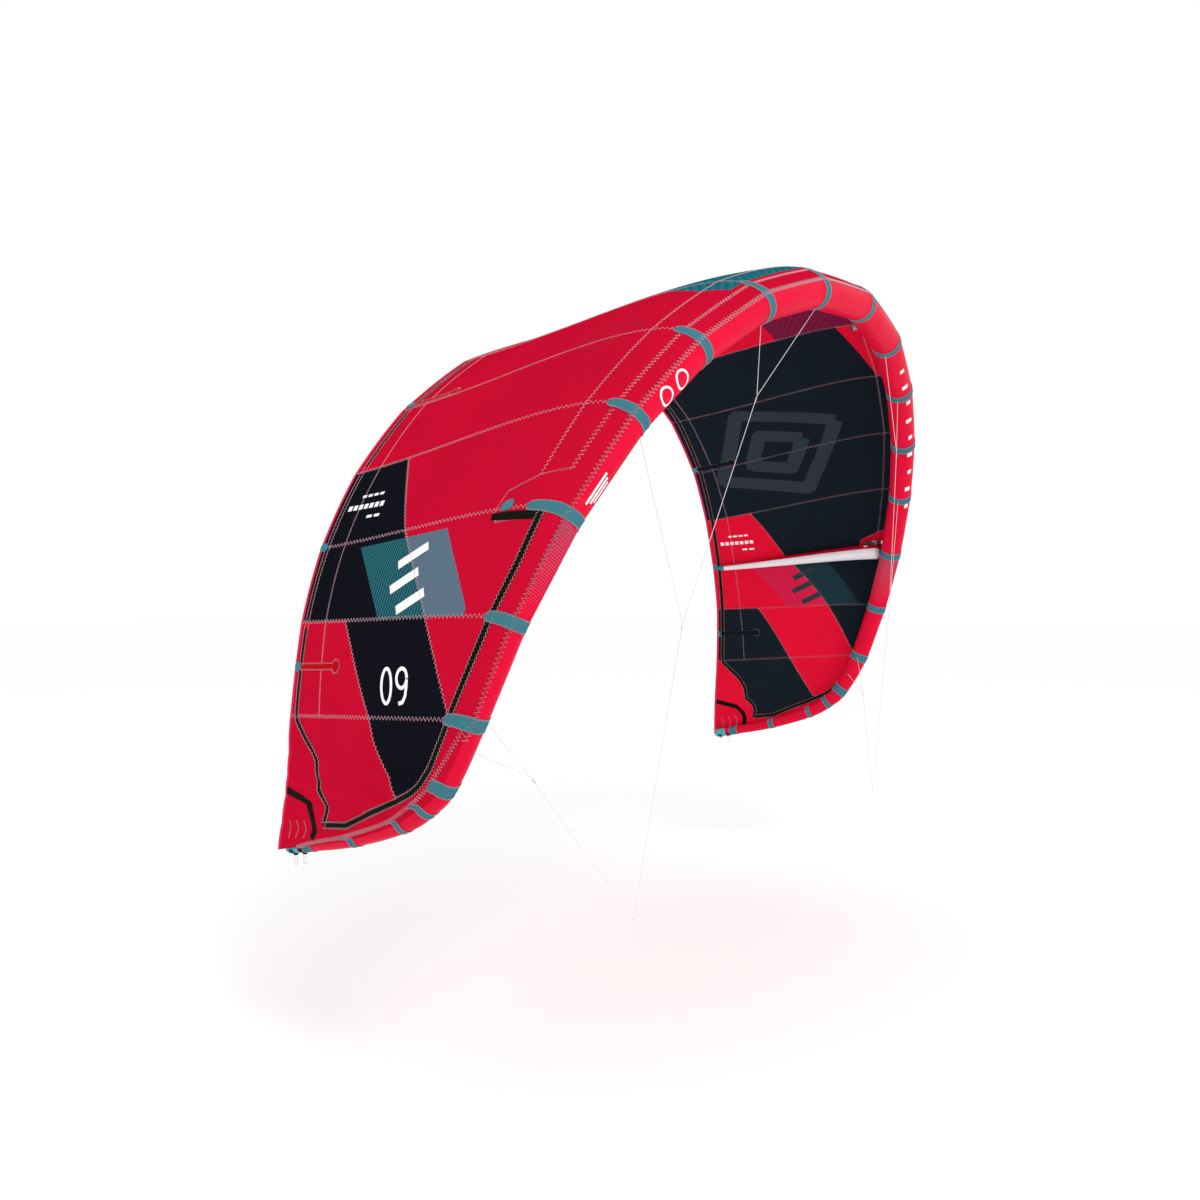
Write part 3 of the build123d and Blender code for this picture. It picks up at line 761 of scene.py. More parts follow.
def cord_curve(name, points, diameter, body):
    """A smooth cord through the route's points."""
    data = bpy.data.curves.new(name, "CURVE")
    data.dimensions = "3D"
    data.bevel_depth = diameter / 2
    data.bevel_resolution = 3
    data.resolution_u = 10
    data.use_fill_caps = True
    spline = data.splines.new("NURBS")
    spline.points.add(len(points) - 1)
    for point, place in zip(spline.points, points):
        point.co = (*place, 1)
    spline.order_u = 3
    spline.use_endpoint_u = True
    data.materials.append(MATERIALS["line_white"])
    piece = add_object(name, data)
    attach(piece, body)
    return piece


def taut_route(points):
    """The route's corners, each with a point close to it on either side."""
    route = [points[0]]
    for before, corner, after in zip(points, points[1:], points[2:]):
        route += [corner + unit(before - corner) * NEAR_KNOT, corner,
                  corner + unit(after - corner) * NEAR_KNOT]
    return route + [points[-1]]


def under_tube(i, side, share=0.0):
    """Where a bridle line leaves the tube's inner side, at a seam or on the way to the next."""
    a, b = (NOSE[k] - OUT[k] * (RADIUS[k] + BAND_WALL + 0.002) for k in (i, i + 1))
    return (a + (b - a) * share) * side_of(side)


def make_knots(name, knots, runs, node, lowest):
    """The whippings that hold the side lines, and the knot at the bridle's lowest point."""
    mesh = Mesh()
    if lowest:
        for axis, radius in KNOT_TURNS:
            x = unit(np.cross(axis, (0.3, 0.2, 0.9)))
            turn = around(x, unit(np.cross(axis, x)), KNOT_POINTS) * radius
            add_hoop(mesh, knots["lower"] + turn, LINE / 2)
    for start, end in runs:
        run = unit(knots[end] - knots[start])
        x = unit(np.cross(run, (0.3, 0.9, 0.1)))
        turn = around(x, np.cross(run, x), KNOT_POINTS) * (LINE / 2 + 0.0011)
        for k in range(8):
            add_hoop(mesh, knots[start] + run * (WHIPPING[0] + WHIPPING[1] * (k + 0.5) / 8) + turn, 0.0014)
    piece = mesh.build(name, "line_white")
    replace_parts(piece, node)
    return piece


def add_hoop(mesh, circle, thickness, sides=8):
    """A closed ring of cord through the points of a loop."""
    heading = unit(np.roll(circle, -1, 0) - np.roll(circle, 1, 0))
    out = unit(circle - circle.mean(0))
    points = circle[:, None] + around(out[:, None], np.cross(heading, out)[:, None], sides) * thickness / 2
    count = len(circle)
    faces = [[k % (count * sides) for k in face] for face in grid_faces(count + 1, sides, closed=True)]
    mesh.add(points.reshape(-1, 3), faces)


def make_bridle(side_name, side):
    knots = {k: np.array(place) * side_of(side) for k, place in BRIDLE_KNOTS.items()}
    node = f"bridle_knots_{side_name}"
    main_runs = (("upper", "outer"), ("outer", "lower"))
    wrapped = {
        "main": make_knots(f"main_line_knots_{side_name}", knots, main_runs, node, True),
        "lower": make_knots(f"lower_line_knots_{side_name}", knots, (("tip", "lower"),), node, False),
    }
    lines = {
        "main": [under_tube(1, side), knots["upper"], knots["outer"], knots["lower"]],
        "second": [under_tube(2, side), knots["upper"]],
        "outer": [under_tube(4, side), knots["outer"]],
        "lower": [under_tube(7, side), knots["tip"], knots["lower"]],
        "tip": [under_tube(7, side, 0.5), knots["tip"]],
    }
    for line, points in lines.items():
        points[-1] = points[-1] + unit(points[-2] - points[-1]) * (KNOT_RADIUS + 0.0003)
        piece = cord_curve(f"bridle_{line}_line_{side_name}", taut_route(points), LINE, "kite")
        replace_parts(piece, f"bridle_{line}_{side_name}")


def make_loops(side_name, side):
    end = NOSE[-1] * side_of(side)
    run = unit(NOSE[-1] - NOSE[-2]) * side_of(side)
    down, bend = np.array((0, 0, -LOOP_DROP)), np.array((0, 0, LOOP_GAP / 2 * 1.4))
    for number, shift in enumerate(LOOP_SHIFTS, 1):
        foot = end + run * shift
        low = foot[2] - RADIUS[-1] - LOOP_CLEAR
        a, b = (np.array((foot[0], foot[1] + gap, low)) for gap in (-LOOP_GAP / 2, LOOP_GAP / 2))
        route = [a, a + down + bend, a + down, b + down, b + down + bend, b]
        name = f"back_line_loop_{number}_{side_name}"
        piece = cord_curve(name, route, LOOP_LINE, f"back_loops_{side_name}")
        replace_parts(piece, f"back_line_loops_{side_name}")


# ---- canopy -------------------------------------------------------------------------------------
# The black field on the left wing, seam by seam. The right wing has the same field in red.
FIELD = (
    ((4, 0.757), (5, 0.575), (5, 1), (4, 1)),
    ((5, 0.575), (6, 0.305), (6, 1), (5, 1)),
    ((6, 0.305), (7, 0.045), (7, 0.481), (6, 0.735)),
    ((7, 0.045), (8.07, 0.075), (8.75, 0.149), (8.04, 0.257), (7.70, 0.334), (7.37, 0.409), (7, 0.481)),
)
# The reinforcement strip: along the trailing edge, across the tip and back along the tube.
FRAME_BACK = ((0, 0.962), (6.15, 0.964), (6.95, 0.957), (7.1, 0.947), (7.43, 0.883), (7.8, 0.808),
              (8.12, 0.766), (9.26, 0.707), (10.65, 0.467))
FRAME_FRONT = ((10.65, 0.467), (10.46, 0.277), (9.83, 0.243), (8.95, 0.144), (8.07, 0.075),
               (7.67, 0.048), (7.21, 0.045), (6.89, 0.046), (6.65, 0.038), (6.33, 0.030),
               (5.93, 0.023), (5.51, 0.018), (4.99, 0.024))
PRINT = ((5.07, 0.785), (5.09, 0.365), (5.98, 0.12), (5.98, 0.555))
CENTRE_PRINT = ((-2.2, 0.024), (1, 0.024), (1, 0.41), (-1.2, 0.43), (-1.95, 0.28), (-2.25, 0.1))
NOSE_FIELD = ((1, JOINT_U), (2, JOINT_U), (2, 0.095), (1, 0.19))
CLOTHS = ("canopy_red", "canopy_black", "canopy_print_red", "canopy_print_black", "canopy_centre_print")


def inside(polygon, v, u):
    """Whether a place lies in a polygon."""
    found = False
    for (av, au), (bv, bu) in zip(polygon, (*polygon[1:], polygon[0])):
        if (av > v) != (bv > v) and u < au + (bu - au) * (v - av) / (bv - av):
            found = not found
    return found


# The two red areas of a wing tip, outside the reinforcement strip.
TIP_FIELDS = (
    ((7, 0.96), *FRAME_BACK[3:], (12, 0.40), (12, 1), (7, 1)),
    ((7, JOINT_U), (7, 0.045), *reversed(FRAME_FRONT[:7]), (12, 0.40), (12, JOINT_U)),
)
CUT_NEAR = 1e-4


def cloth_of(v, u):
    """The number of the cloth at a place, in CLOTHS."""
    side, a = (-1 if v < 0 else 1), abs(v)
    red = side < 0 or a < 1 or inside(NOSE_FIELD, a, u)
    if any(inside(field, a, u) for field in FIELD):
        red = side > 0
    if any(inside(field, a, u) for field in (NOSE_PATCH, *TIP_FIELDS)):
        red = True
    if inside(PRINT, a, u):
        return 2 if red else 3
    if inside(CENTRE_PRINT, v, u):
        return 4
    return 0 if red else 1


def cut(mesh, polygon):
    """Cuts the flat cloth along a polygon's edges."""
    for (av, au), (bv, bu) in zip(polygon, (*polygon[1:], polygon[0])):
        low, high = min(av, bv) - CUT_NEAR, max(av, bv) + CUT_NEAR
        bottom, top = min(au, bu) - CUT_NEAR, max(au, bu) + CUT_NEAR
        faces = [f for f in mesh.faces if low < f.calc_center_bounds().x < high or any(
            low < p.co.x < high for p in f.verts)]
        faces = [f for f in faces if max(p.co.y for p in f.verts) > bottom
                 and min(p.co.y for p in f.verts) < top]
        geometry = {*faces, *(e for f in faces for e in f.edges), *(p for f in faces for p in f.verts)}
        normal = Vector((bu - au, av - bv, 0)).normalized()
        bmesh.ops.bisect_plane(mesh, geom=list(geometry), dist=2e-4, plane_co=(av, au, 0), plane_no=normal)


def make_canopy():
    """The whole canopy as one sheet, cut along its colour borders on the flat cloth."""
    flat = bmesh.new()
    rows = [[flat.verts.new((v, u, 0)) for u in CLOTH_GRID.u] for v in CLOTH_GRID.v]
    for a, b in zip(rows, rows[1:]):
        for j in range(ROWS):
            flat.faces.new((a[j], b[j], b[j + 1], a[j + 1]))
    for side in SIDES.values():
        for shape in (*FIELD, *TIP_FIELDS, PRINT, NOSE_PATCH):
            cut(flat, wing(shape, side))
    cut(flat, CENTRE_PRINT)
    cut(flat, NOSE_FIELD)
    layer = flat.loops.layers.uv.new("cloth")
    for face in flat.faces:
        middle = face.calc_center_median()
        face.material_index = cloth_of(middle.x, middle.y)
        face.smooth = True
        for corner in face.loops:
            corner[layer].uv = CLOTH_GRID.metres(corner.vert.co.x, corner.vert.co.y)
    for vert in flat.verts:
        vert.co = OUTER(vert.co.x, vert.co.y)[0]
    data = bpy.data.meshes.new("canopy")
    flat.to_mesh(data)
    flat.free()
    for name in (*CLOTHS, *(f"{name}_inner" for name in CLOTHS)):
        data.materials.append(MATERIALS[name])
    piece = add_object("canopy", data)
    sheet = piece.modifiers.new("sheet", "SOLIDIFY")
    sheet.thickness, sheet.offset = SHEET, -1
    # The inner face takes the inner cloths, whose colours are painted light shining through the cloth.
    sheet.material_offset = len(CLOTHS)
    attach(piece, "kite")
    for side_name in SIDES:
        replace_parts(piece, *(f"canopy_panel_{i}_{side_name}" for i in range(1, SWEPT_AT + 1)))
        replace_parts(piece, f"canopy_tip_{side_name}")


# ---- leading edge -------------------------------------------------------------------------------
TIP_ROUNDING = (0.35, 0.65, 0.88, 0.98)
LE_GROUPS = {"inner": (1, 2), "middle": (2, 3), "shoulder": (3, 5), "outer": (5, 7), "tip": (7, 13)}
PRINTED_STRETCH = (5.06, 5.92)  # on the outer stretch


def tube_skin(name, first, last):
    """One stretch of the inflated sleeve, closed at its ends."""
    v = np.linspace(first, last, int(round(abs(last - first) * 14)) + 1)
    angle = np.linspace(0, 360, TUBE_SIDES + 1)[:-1]
    rings, _ = on_tube(v[:, None], angle[None])
    girth = np.radians(angle) * TUBE_RADIUS
    flat = np.stack(np.broadcast_arrays(distances(rings[:, 0])[:, None], girth[None]), -1)
    if abs(last) == RING_COUNT:
        rim, centre = rings[-1], rings[-1].mean(0)
        onward = unit(centre - rings[-2].mean(0)) * RADIUS[-1] * 0.4
        for t in TIP_ROUNDING:
            rings = np.concatenate([rings, (centre + (rim - centre) * (1 - t**2) ** 0.5 + onward * t)[None]])
            flat = np.concatenate([flat, flat[-1:]])
    mesh = Mesh()
    mesh.add(rings.reshape(-1, 3), tube_faces(len(rings), TUBE_SIDES), flat.reshape(-1, 2))
    piece = mesh.build(f"{name}_sleeve", "tube_red", "tube_print")
    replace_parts(piece, name)
    if "outer" in name:
        for face in piece.data.polygons:
            row = min(face.vertices) // TUBE_SIDES
            if PRINTED_STRETCH[0] < abs(v[row]) < PRINTED_STRETCH[1]:
                face.material_index = 1


def make_leading_edge():
    tube_skin("leading_edge_centre", -1, 1)
    for side_name, side in SIDES.items():
        for group, (first, last) in LE_GROUPS.items():
            tube_skin(f"leading_edge_{group}_{side_name}", first * side, last * side)


TIP_STARTS = {8: 0.016, 9: 0.037, 10: 0.05, 11: 0.11, 12: 0.30}
TONGUES = {0: 0.03, 1: 0.03, 2: 0.03, 3: 0.03, 4: 0.032, 5: 0.078, 6: 0.045, 7: 0.07}
TIP_JOINT = ((7, -0.03), (7.5, -0.008), (8, 0.018), (9, 0.036), (10, 0.055), (11, 0.13), (11.9, 0.33))
BAND_COLUMNS = np.array((-1, -0.9, -0.45, 0, 0.45, 0.9, 1))
BAND_LIFT = 0.0014  # over the cloth
BAND_WIDTH, BAND_WIDTH_TIP = 0.046, 0.038
BAND_END_ANGLE = 335


def band_grid(i, side):
    """Places on one band: from its rounded end on the cloth, over the joint and round the tube."""
    width = BAND_WIDTH if i <= SWEPT_AT else BAND_WIDTH_TIP
    step = np.linalg.norm(NOSE[i] - NOSE[i + 1])
    start = TONGUES[i] if i in TONGUES else TIP_STARTS[i]
    shares = np.linspace(0, 1, 14)
    u = start + (JOINT_U - start) * shares
    half = np.full(len(shares), width / 2)
    if i in TONGUES:
        reach = shares * np.linalg.norm(OUTER(i, start)[0] - OUTER(i, JOINT_U)[0])
        near = np.clip(reach / (width * 0.4), 0.03, 1)
        half = half * (0.8 + 0.2 * shares) * np.sqrt(1 - (1 - near) ** 2)
    angle = np.linspace(joint_angle(float(i)), BAND_END_ANGLE, 44)[1:]
    on_cloth = OUTER(side * (i + half[:, None] / step * BAND_COLUMNS), u[:, None] + 0 * BAND_COLUMNS)
    on_ring = on_tube(side * (i + width / 2 / step * BAND_COLUMNS[None]), angle[:, None], 0.0010)
    places = np.concatenate([on_cloth[0] + on_cloth[1] * BAND_LIFT, on_ring[0]])
    return places, np.concatenate([on_cloth[1], on_ring[1]])


def make_bands():
    for side_name, side in SIDES.items():
        mesh, stitches = Mesh(), Mesh()
        for i in range(0 if side < 0 else 1, RING_COUNT):
            places, normals = band_grid(i, side)
            add_slab(mesh, places, normals, BAND_WALL)
            for edge in (1, len(BAND_COLUMNS) - 2):
                line, out = resample(places[:, edge], normals[:, edge], 0.006)
                add_swings(stitches, line + out * (BAND_WALL + 0.0002), out, sideways(line, out), 0.003)
        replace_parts(mesh.build(f"bands_{side_name}", "band_teal"), f"leading_edge_bands_{side_name}")
        stitches.build(f"band_stitching_{side_name}", "thread")


# ---- edge tape, reinforcement strips and stitching ----------------------------------------------
TAPE_WIDTH = 0.014
TE_STITCH = ((0, 0.93), (2.1, 0.912), (3, 0.90), (4, 0.882), (5, 0.872), (6, 0.85), (7, 0.80))
R_SEAM = ((1, 0.104), (2, 0.098), (3, 0.092), (4, 0.095), (4.71, 0.092))
LOW_SEAM = ((0, 0.004), (1, 0.004), (2, 0.004), (3, 0.004), (4, 0.006), (4.65, 0.010))
NOSE_PATCH = ((4.65, 0.010), (4.71, 0.092), (4.83, 0.176), (5.03, 0.190), (5.13, 0.165), (5.10, 0.03))
STRAP = ((9.72, 0.985), (10.04, 0.76), (10.31, 0.689), (11.28, 0.40))
BARTACKS = (((10.85, 0.884), (11.47, 0.773)), ((10.76, 0.793), (11.42, 0.635)),
            ((10.69, 0.703), (11.35, 0.511)))
BATTENS = ((2.93, 0.80), (6.47, 0.735))
LEG = ((5.085, 0.012), (5.085, 0.06), (5.08, 0.12), (5.07, 0.19))
LEG_WIDTHS = (0.034, 0.034, 0.034, 0.026)
BORDERS = (
    ((4, 0.757), (5, 0.575)), ((5, 0.575), (6, 0.305)), ((6, 0.305), (7, 0.045)), ((6, 0.735), (7, 0.481)),
    ((7, 0.481), (7.37, 0.409), (7.70, 0.334), (8.04, 0.257), (8.75, 0.149)),
)
STITCHES = (  # route, width, pitch, thickness
    *((route, 0.011, 0.018, 0.0024) for route in (*BORDERS, R_SEAM)),
    (TE_STITCH, 0.008, 0.014, 0.0022), (LOW_SEAM, 0.016, 0.018, 0.0028), (NOSE_PATCH, 0.009, 0.011, THREAD),
    *((route, 0.008, 0.008, THREAD) for route in BARTACKS),
)
BATTEN_PATCH = 0.03


def make_edge_tape():
    """A binding folded over the trailing edge."""
    for side_name, side in SIDES.items():
        v = np.linspace(0, SEAM_COUNT, SEAM_COUNT * COLUMNS + 1) * side
        chord = CLOTH_GRID.metres(v, 1.0)[:, 1]
        inward = 1 - TAPE_WIDTH / np.maximum(chord, 0.05)
        rows = []
        for surface, share in ((OUTER, 0), (OUTER, 0.5), (OUTER, 1), (INNER, 1), (INNER, 0.5), (INNER, 0)):
            place, normal = surface(v, inward + (1 - inward) * share)
            rows.append(place + normal * (0.0012 if share < 1 else 0.0009))
        edge = OUTER(v, 1.0)[0]
        back = unit(edge - OUTER(v, 0.98)[0]) * 0.001
        rows[2], rows[3] = rows[2] + back, rows[3] + back
        uvs = np.stack(np.broadcast_arrays(distances(edge)[:, None], np.arange(len(rows))[None] * 0.005), -1)
        mesh = Mesh()
        mesh.add(np.stack(rows, 1).reshape(-1, 3), tube_faces(len(v), len(rows)), uvs.reshape(-1, 2))
        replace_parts(mesh.build(f"edge_binding_{side_name}", "tape_pink"), f"trailing_edge_tape_{side_name}")


def make_strips():
    """Black reinforcement strips on both faces, with the tip's strap and the leg behind the strut's band."""
    for side_name, side in SIDES.items():
        for face, surface in FACES.items():
            mesh, stitches = Mesh(), Mesh()
            for route in (FRAME_BACK, FRAME_FRONT):
                add_ribbon(mesh, wing(route, side), surface, 0.027)
                for shift in (-0.011, 0.011):
                    add_edge_stitch(stitches, wing(route, side), surface, shift)
            add_ribbon(mesh, wing(STRAP, side), surface, 0.03, lift=0.0012)
            add_ribbon(mesh, wing(LEG, side), surface, LEG_WIDTHS, lift=0.0008, step=0.01)
            mesh.build(f"reinforcement_{face}_{side_name}", "tape_black")
            stitches.build(f"reinforcement_stitching_{face}_{side_name}", "thread")


def add_edge_stitch(mesh, route, surface, shift):
    """A narrow zigzag along one edge of a strip."""
    add_zigzag(mesh, route, surface, 0.006, 0.016, shift=shift, lift=0.0014)


def make_seams():
    """Zigzag stitching along the chordwise seams, colour borders and edges, on both faces."""
    for face, surface in FACES.items():
        for side_name, side in SIDES.items():
            mesh = Mesh()
            for v in range(0 if side < 0 else 1, SWEPT_AT + 1):
                seam = wing(((v, TONGUES[v] + 0.004), (v, 0.99)), side)
                add_zigzag(mesh, seam, surface, 0.015, 0.020, 0.0024)
            for route, width, pitch, thickness in STITCHES:
                add_zigzag(mesh, wing(route, side), surface, width, pitch, thickness)
            for v, u in BATTENS:
                for shift in (-0.012, 0.012):
                    add_edge_stitch(mesh, wing(((v, u + 0.02), (v, 0.985)), side), surface, shift)
                add_ring_stitch(mesh, v * side, u, surface, BATTEN_PATCH - 0.004)
            mesh.build(f"canopy_stitching_{face}_{side_name}", "thread")
    for side_name, side in SIDES.items():
        mesh = Mesh()
        joint = [(v * side, joint_angle(v) + 5) for v in np.linspace(0, 7.2, 60)]
        add_zigzag(mesh, joint, raised(on_tube, 0.0016), 0.020, 0.018, 0.003)
        add_zigzag(mesh, wing(TIP_JOINT, side), raised(OUTER, 0.0004), 0.016, 0.015, 0.0028)
        mesh.build(f"joint_stitching_{side_name}", "thread")


def patch_axes(v, u, surface):
    """A place on a surface, with the directions outwards, down the chord and across."""
    place, normal = surface(v, u)
    down = unit(surface(v, u + 0.01)[0] - place)
    return place, normal, down, np.cross(normal, down)


def add_ring_stitch(mesh, v, u, surface, radius):
    """A narrow zigzag round a place."""
    middle, normal, down, across = patch_axes(v, u, surface)
    out = around(down, across, 36)
    out = np.concatenate([out, out[:1]])
    normals = np.repeat(normal[None], len(out), 0)
    add_swings(mesh, middle + out * radius + normals * 0.0012, normals, unit(out), 0.0035)


def add_disc(mesh, v, u, surface, radii, thickness, lift=0.0003, turn=0.0):
    """A flat patch on a surface: an ellipse with its two radii."""
    place, normal, down, across = patch_axes(v, u, surface)
    down, across = down * cos(turn) + across * sin(turn), across * cos(turn) - down * sin(turn)
    rim = around(down * radii[0], across * radii[1], 40) + normal * lift
    shoulder = rim * 0.93 + normal * thickness
    mesh.add(place + np.concatenate([rim, shoulder]), tube_faces(2, 40))


def make_batten_pockets():
    """Pockets for the battens: a strip and a round patch, with a teal cap on the trailing edge."""
    caps, battens = Mesh(), Mesh()
    for side_name, side in SIDES.items():
        pockets = Mesh()
        for v, u in BATTENS:
            strip = wing(((v, u + 0.005), (v, 0.975)), side)
            for surface, crown in ((OUTER, 0.0012), (INNER, 0.0060)):
                add_ribbon(pockets, strip, surface, 0.030, step=0.02, crown=crown)
                add_disc(pockets, v * side, u, surface, (BATTEN_PATCH, BATTEN_PATCH), 0.0012)
            batten = wing(((v, u + 0.012), (v, 0.984)), side)
            add_ribbon(battens, batten, INNER, 0.012, 0.0025, 0.0012, step=0.02)
        for v in (BATTENS[0][0], 5, BATTENS[1][0]):
            end = wing(((v, 0.962), (v, 1.0)), side)
            for surface in FACES.values():
                add_ribbon(caps, end, surface, 0.038, 0.0026, 0.0016, ends="round", step=0.004)
        pockets.build(f"batten_pockets_{side_name}", "patch_red" if side < 0 else "patch_black")
    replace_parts(battens.build("battens_bare", "batten"), "battens")
    caps.build("batten_pocket_caps", "cap_teal")


# ---- generic prints -----------------------------------------------------------------------------
def local_route(v, u, side, points, surface, turn=0.0):
    """Points given in metres round a place, x down the chord and y towards the tip, as (v, u)."""
    here = surface(v, u)[0]
    down = (surface(v, u + 0.02)[0] - here) / 0.02
    across = (surface(v + 0.1 * side, u)[0] - here) / 0.1
    matrix = np.array(((down @ down, down @ across), (down @ across, across @ across)))
    frame_down = unit(down)
    frame_across = unit(across - frame_down * (across @ frame_down))
    route = []
    for x, y in points:
        step = frame_down * (x * cos(turn) - y * sin(turn)) + frame_across * (x * sin(turn) + y * cos(turn))
        du, dv = np.linalg.solve(matrix, (step @ down, step @ across))
        route.append((v + dv * side, u + du))
    return route


def add_mark(mesh, v, u, side, points, surface, width, turn=0.0, step=0.012):
    """A printed stroke through points given round a place on a wing."""
    route = local_route(v * side, u, side, points, surface, turn)
    add_ribbon(mesh, route, surface, width, INK, INK, step=step)


def add_tube_mark(mesh, route, width, step=0.008):
    """A printed stroke on the tube, through seams and angles."""
    add_ribbon(mesh, route, raised(on_tube, INK), width, INK, 0.0003, step=step)


def arc(x, y, rx, ry, start, end, count=14):
    """Points on an ellipse, between two angles in degrees."""
    return [(x + rx * cos(radians(a)), y + ry * sin(radians(a))) for a in np.linspace(start, end, count)]


# Plain digits as single strokes, x to the right and y up.
ZERO = arc(0, 0, 0.029, 0.062, 0, 360, 30)
NINE = [*arc(0, 0.028, 0.029, 0.034, 0, 360, 26),
        (0.029, 0), (0.024, -0.034), (0.010, -0.057), (-0.014, -0.062)]
INK = 0.0004  # thickness of a print
SLANTED = ((-0.10, 0.06), (-0.06, 0.10), (-0.10, 0.06))  # where each slanted bar starts and ends
DASHED = ((-0.08, 0.07, 0.013), (-0.11, 0.135, 0.024), (-0.11, -0.01, 0.013))  # start, end and width
DASH = 0.034
DIAMOND = ((-1, 0), (0, 0.8), (1, 0), (0, -0.8), (-1, 0))


def make_prints():
    """Plain marks: a size numeral, bars in place of wording and simple figures."""
    white, grey, tonal = Mesh(), Mesh(), Mesh()
    for side in SIDES.values():
        for shift, digit in ((-0.044, ZERO), (0.044, NINE)):
            stroke = [((x + shift) * side, -y) for x, y in digit]
            add_mark(white if side < 0 else grey, 6.67, 0.369, side, stroke, OUTER, 0.014, step=0.006)
        # Slanted bars across the square print.
        for k, (low, high) in enumerate(SLANTED):
            bar = ((low, -0.09 + 0.09 * k), (high, -0.06 + 0.09 * k))
            add_mark(white, 5.56, 0.46, side, bar, OUTER, 0.036, 0.2)
            add_mark(tonal if side < 0 else grey, 5.56, 0.46, side, bar, INNER, 0.036, 0.2)
        # Three rows of bars by the trailing edge.
        for row, (start, end, width) in enumerate(DASHED):
            dashes = int((end - start) / DASH)
            across = -0.055 + 0.052 * row
            for k in range(dashes):
                x = start + (end - start) * k / dashes
                bar = ((x, across), (x + (end - start) / dashes * 0.72, across))
                for surface in FACES.values():
                    add_mark(white, 4.56, 0.84, side, bar, surface, width, -0.08)
    # A large plain diamond on the right wing's inner face, and a faint one on the left wing.
    diamonds = ((grey, 2.95, 0.58, 1, INNER, 0.46), (tonal, 2.9, 0.25, -1, OUTER, 0.16))
    for mesh, v, u, side, surface, size in diamonds:
        for scale in (size, size * 0.45):
            diamond = [(x * scale, y * scale) for x, y in DIAMOND]
            add_mark(mesh, v, u, side, diamond, surface, size * 0.2, 0.3, step=0.02)
    # Bars along the right half of the tube, and plain figures on the left half.
    for k in range(9):
        v = 1.45 + k * 0.33
        add_tube_mark(white, ((v, 120), (v, 150 if k % 2 else 142)), 0.030)
    for v in (-3.42, -3.66):
        hoop = [(v + 0.075 * cos(a), 96 + 30 * sin(a)) for a in np.linspace(0, 2 * pi, 25)]
        add_tube_mark(white, hoop, 0.009)
    for k in range(3):
        add_tube_mark(white, ((-4.55 - 0.02 * k, 84 + 13 * k), (-4.86 + 0.03 * k, 84 + 13 * k)), 0.009, 0.01)
    white.build("prints_white", "print_white")
    grey.build("prints_grey", "print_grey")
    tonal.build("prints_tonal", "print_tonal")


# ---- struts -------------------------------------------------------------------------------------
STRUT_NOSE_RADIUS, STRUT_TAIL_RADIUS = 0.042, 0.017
STRUT_CAP = 0.04
STRUT_FULLNESS = 0.006  # how much the filled skin swells at its nose
STRUT_GAP = 0.004
STRUT_SIDES = 32
STRUT_ROUNDING = ((0.5, 0.0), (0.8, 0.004), (0.95, 0.010))  # the first rings: share of the radius, shift
STRUT_WHITE = (80, 232)  # white part of the skin, in degrees from the canopy towards the wing tip


class Strut:
    """An inflated rib under the canopy, with the frame's centreline and radii."""

    def __init__(self, seam, side):
        self.seam, self.side = seam, side
        mirror = side_of(side)
        self.nose, self.tail = NOSE[seam] * mirror, TAIL[seam] * mirror
        self.out, self.along = OUT[seam] * mirror, ALONG[seam] * mirror
        self.chord = np.linalg.norm(self.tail - self.nose)
        self.back = unit(self.tail - self.nose)
        self.first = RADIUS[seam] + 0.012
        self.last = self.chord - TAPE_WIDTH - 0.012

    def radius(self, s):
        share = (s - self.first) / (self.last - self.first)
        return STRUT_NOSE_RADIUS + (STRUT_TAIL_RADIUS - STRUT_NOSE_RADIUS) * share

    def top(self, s):
        w = s / self.chord
        start = RADIUS[self.seam] + CANOPY_RISE
        return start * (1 - w) + BULGE[self.seam] * w**0.6 * (1 - w) ** 2 / BULGE_PEAK

    def centre(self, s):
        depth = CLOTH + STRUT_GAP + self.radius(s)
        return self.nose + self.back * s + self.out * (self.top(s) - depth)

    def axes(self, s):
        """Along the strut, towards the canopy, and towards the wing tip."""
        heading = unit(self.centre(s + 0.005) - self.centre(s - 0.005))
        up = unit(self.out - heading * (self.out @ heading))
        return heading, up, np.cross(heading, up) * self.side


STRUTS = {"centre": Strut(0, 1), "left": Strut(5, -1), "right": Strut(5, 1)}


def lathe(mesh, centre, axis, outline, count=32):
    """A turned shape: its outline is a list of (radius, distance along the axis)."""
    axis = unit(np.array(axis, float))
    x = unit(np.cross(axis, (0.31, 0.17, 0.93)))
    circle = around(x, np.cross(axis, x), count)
    rings = [np.array(centre) + axis * z + circle * r for r, z in outline]
    mesh.add(np.concatenate(rings), tube_faces(len(rings), count))


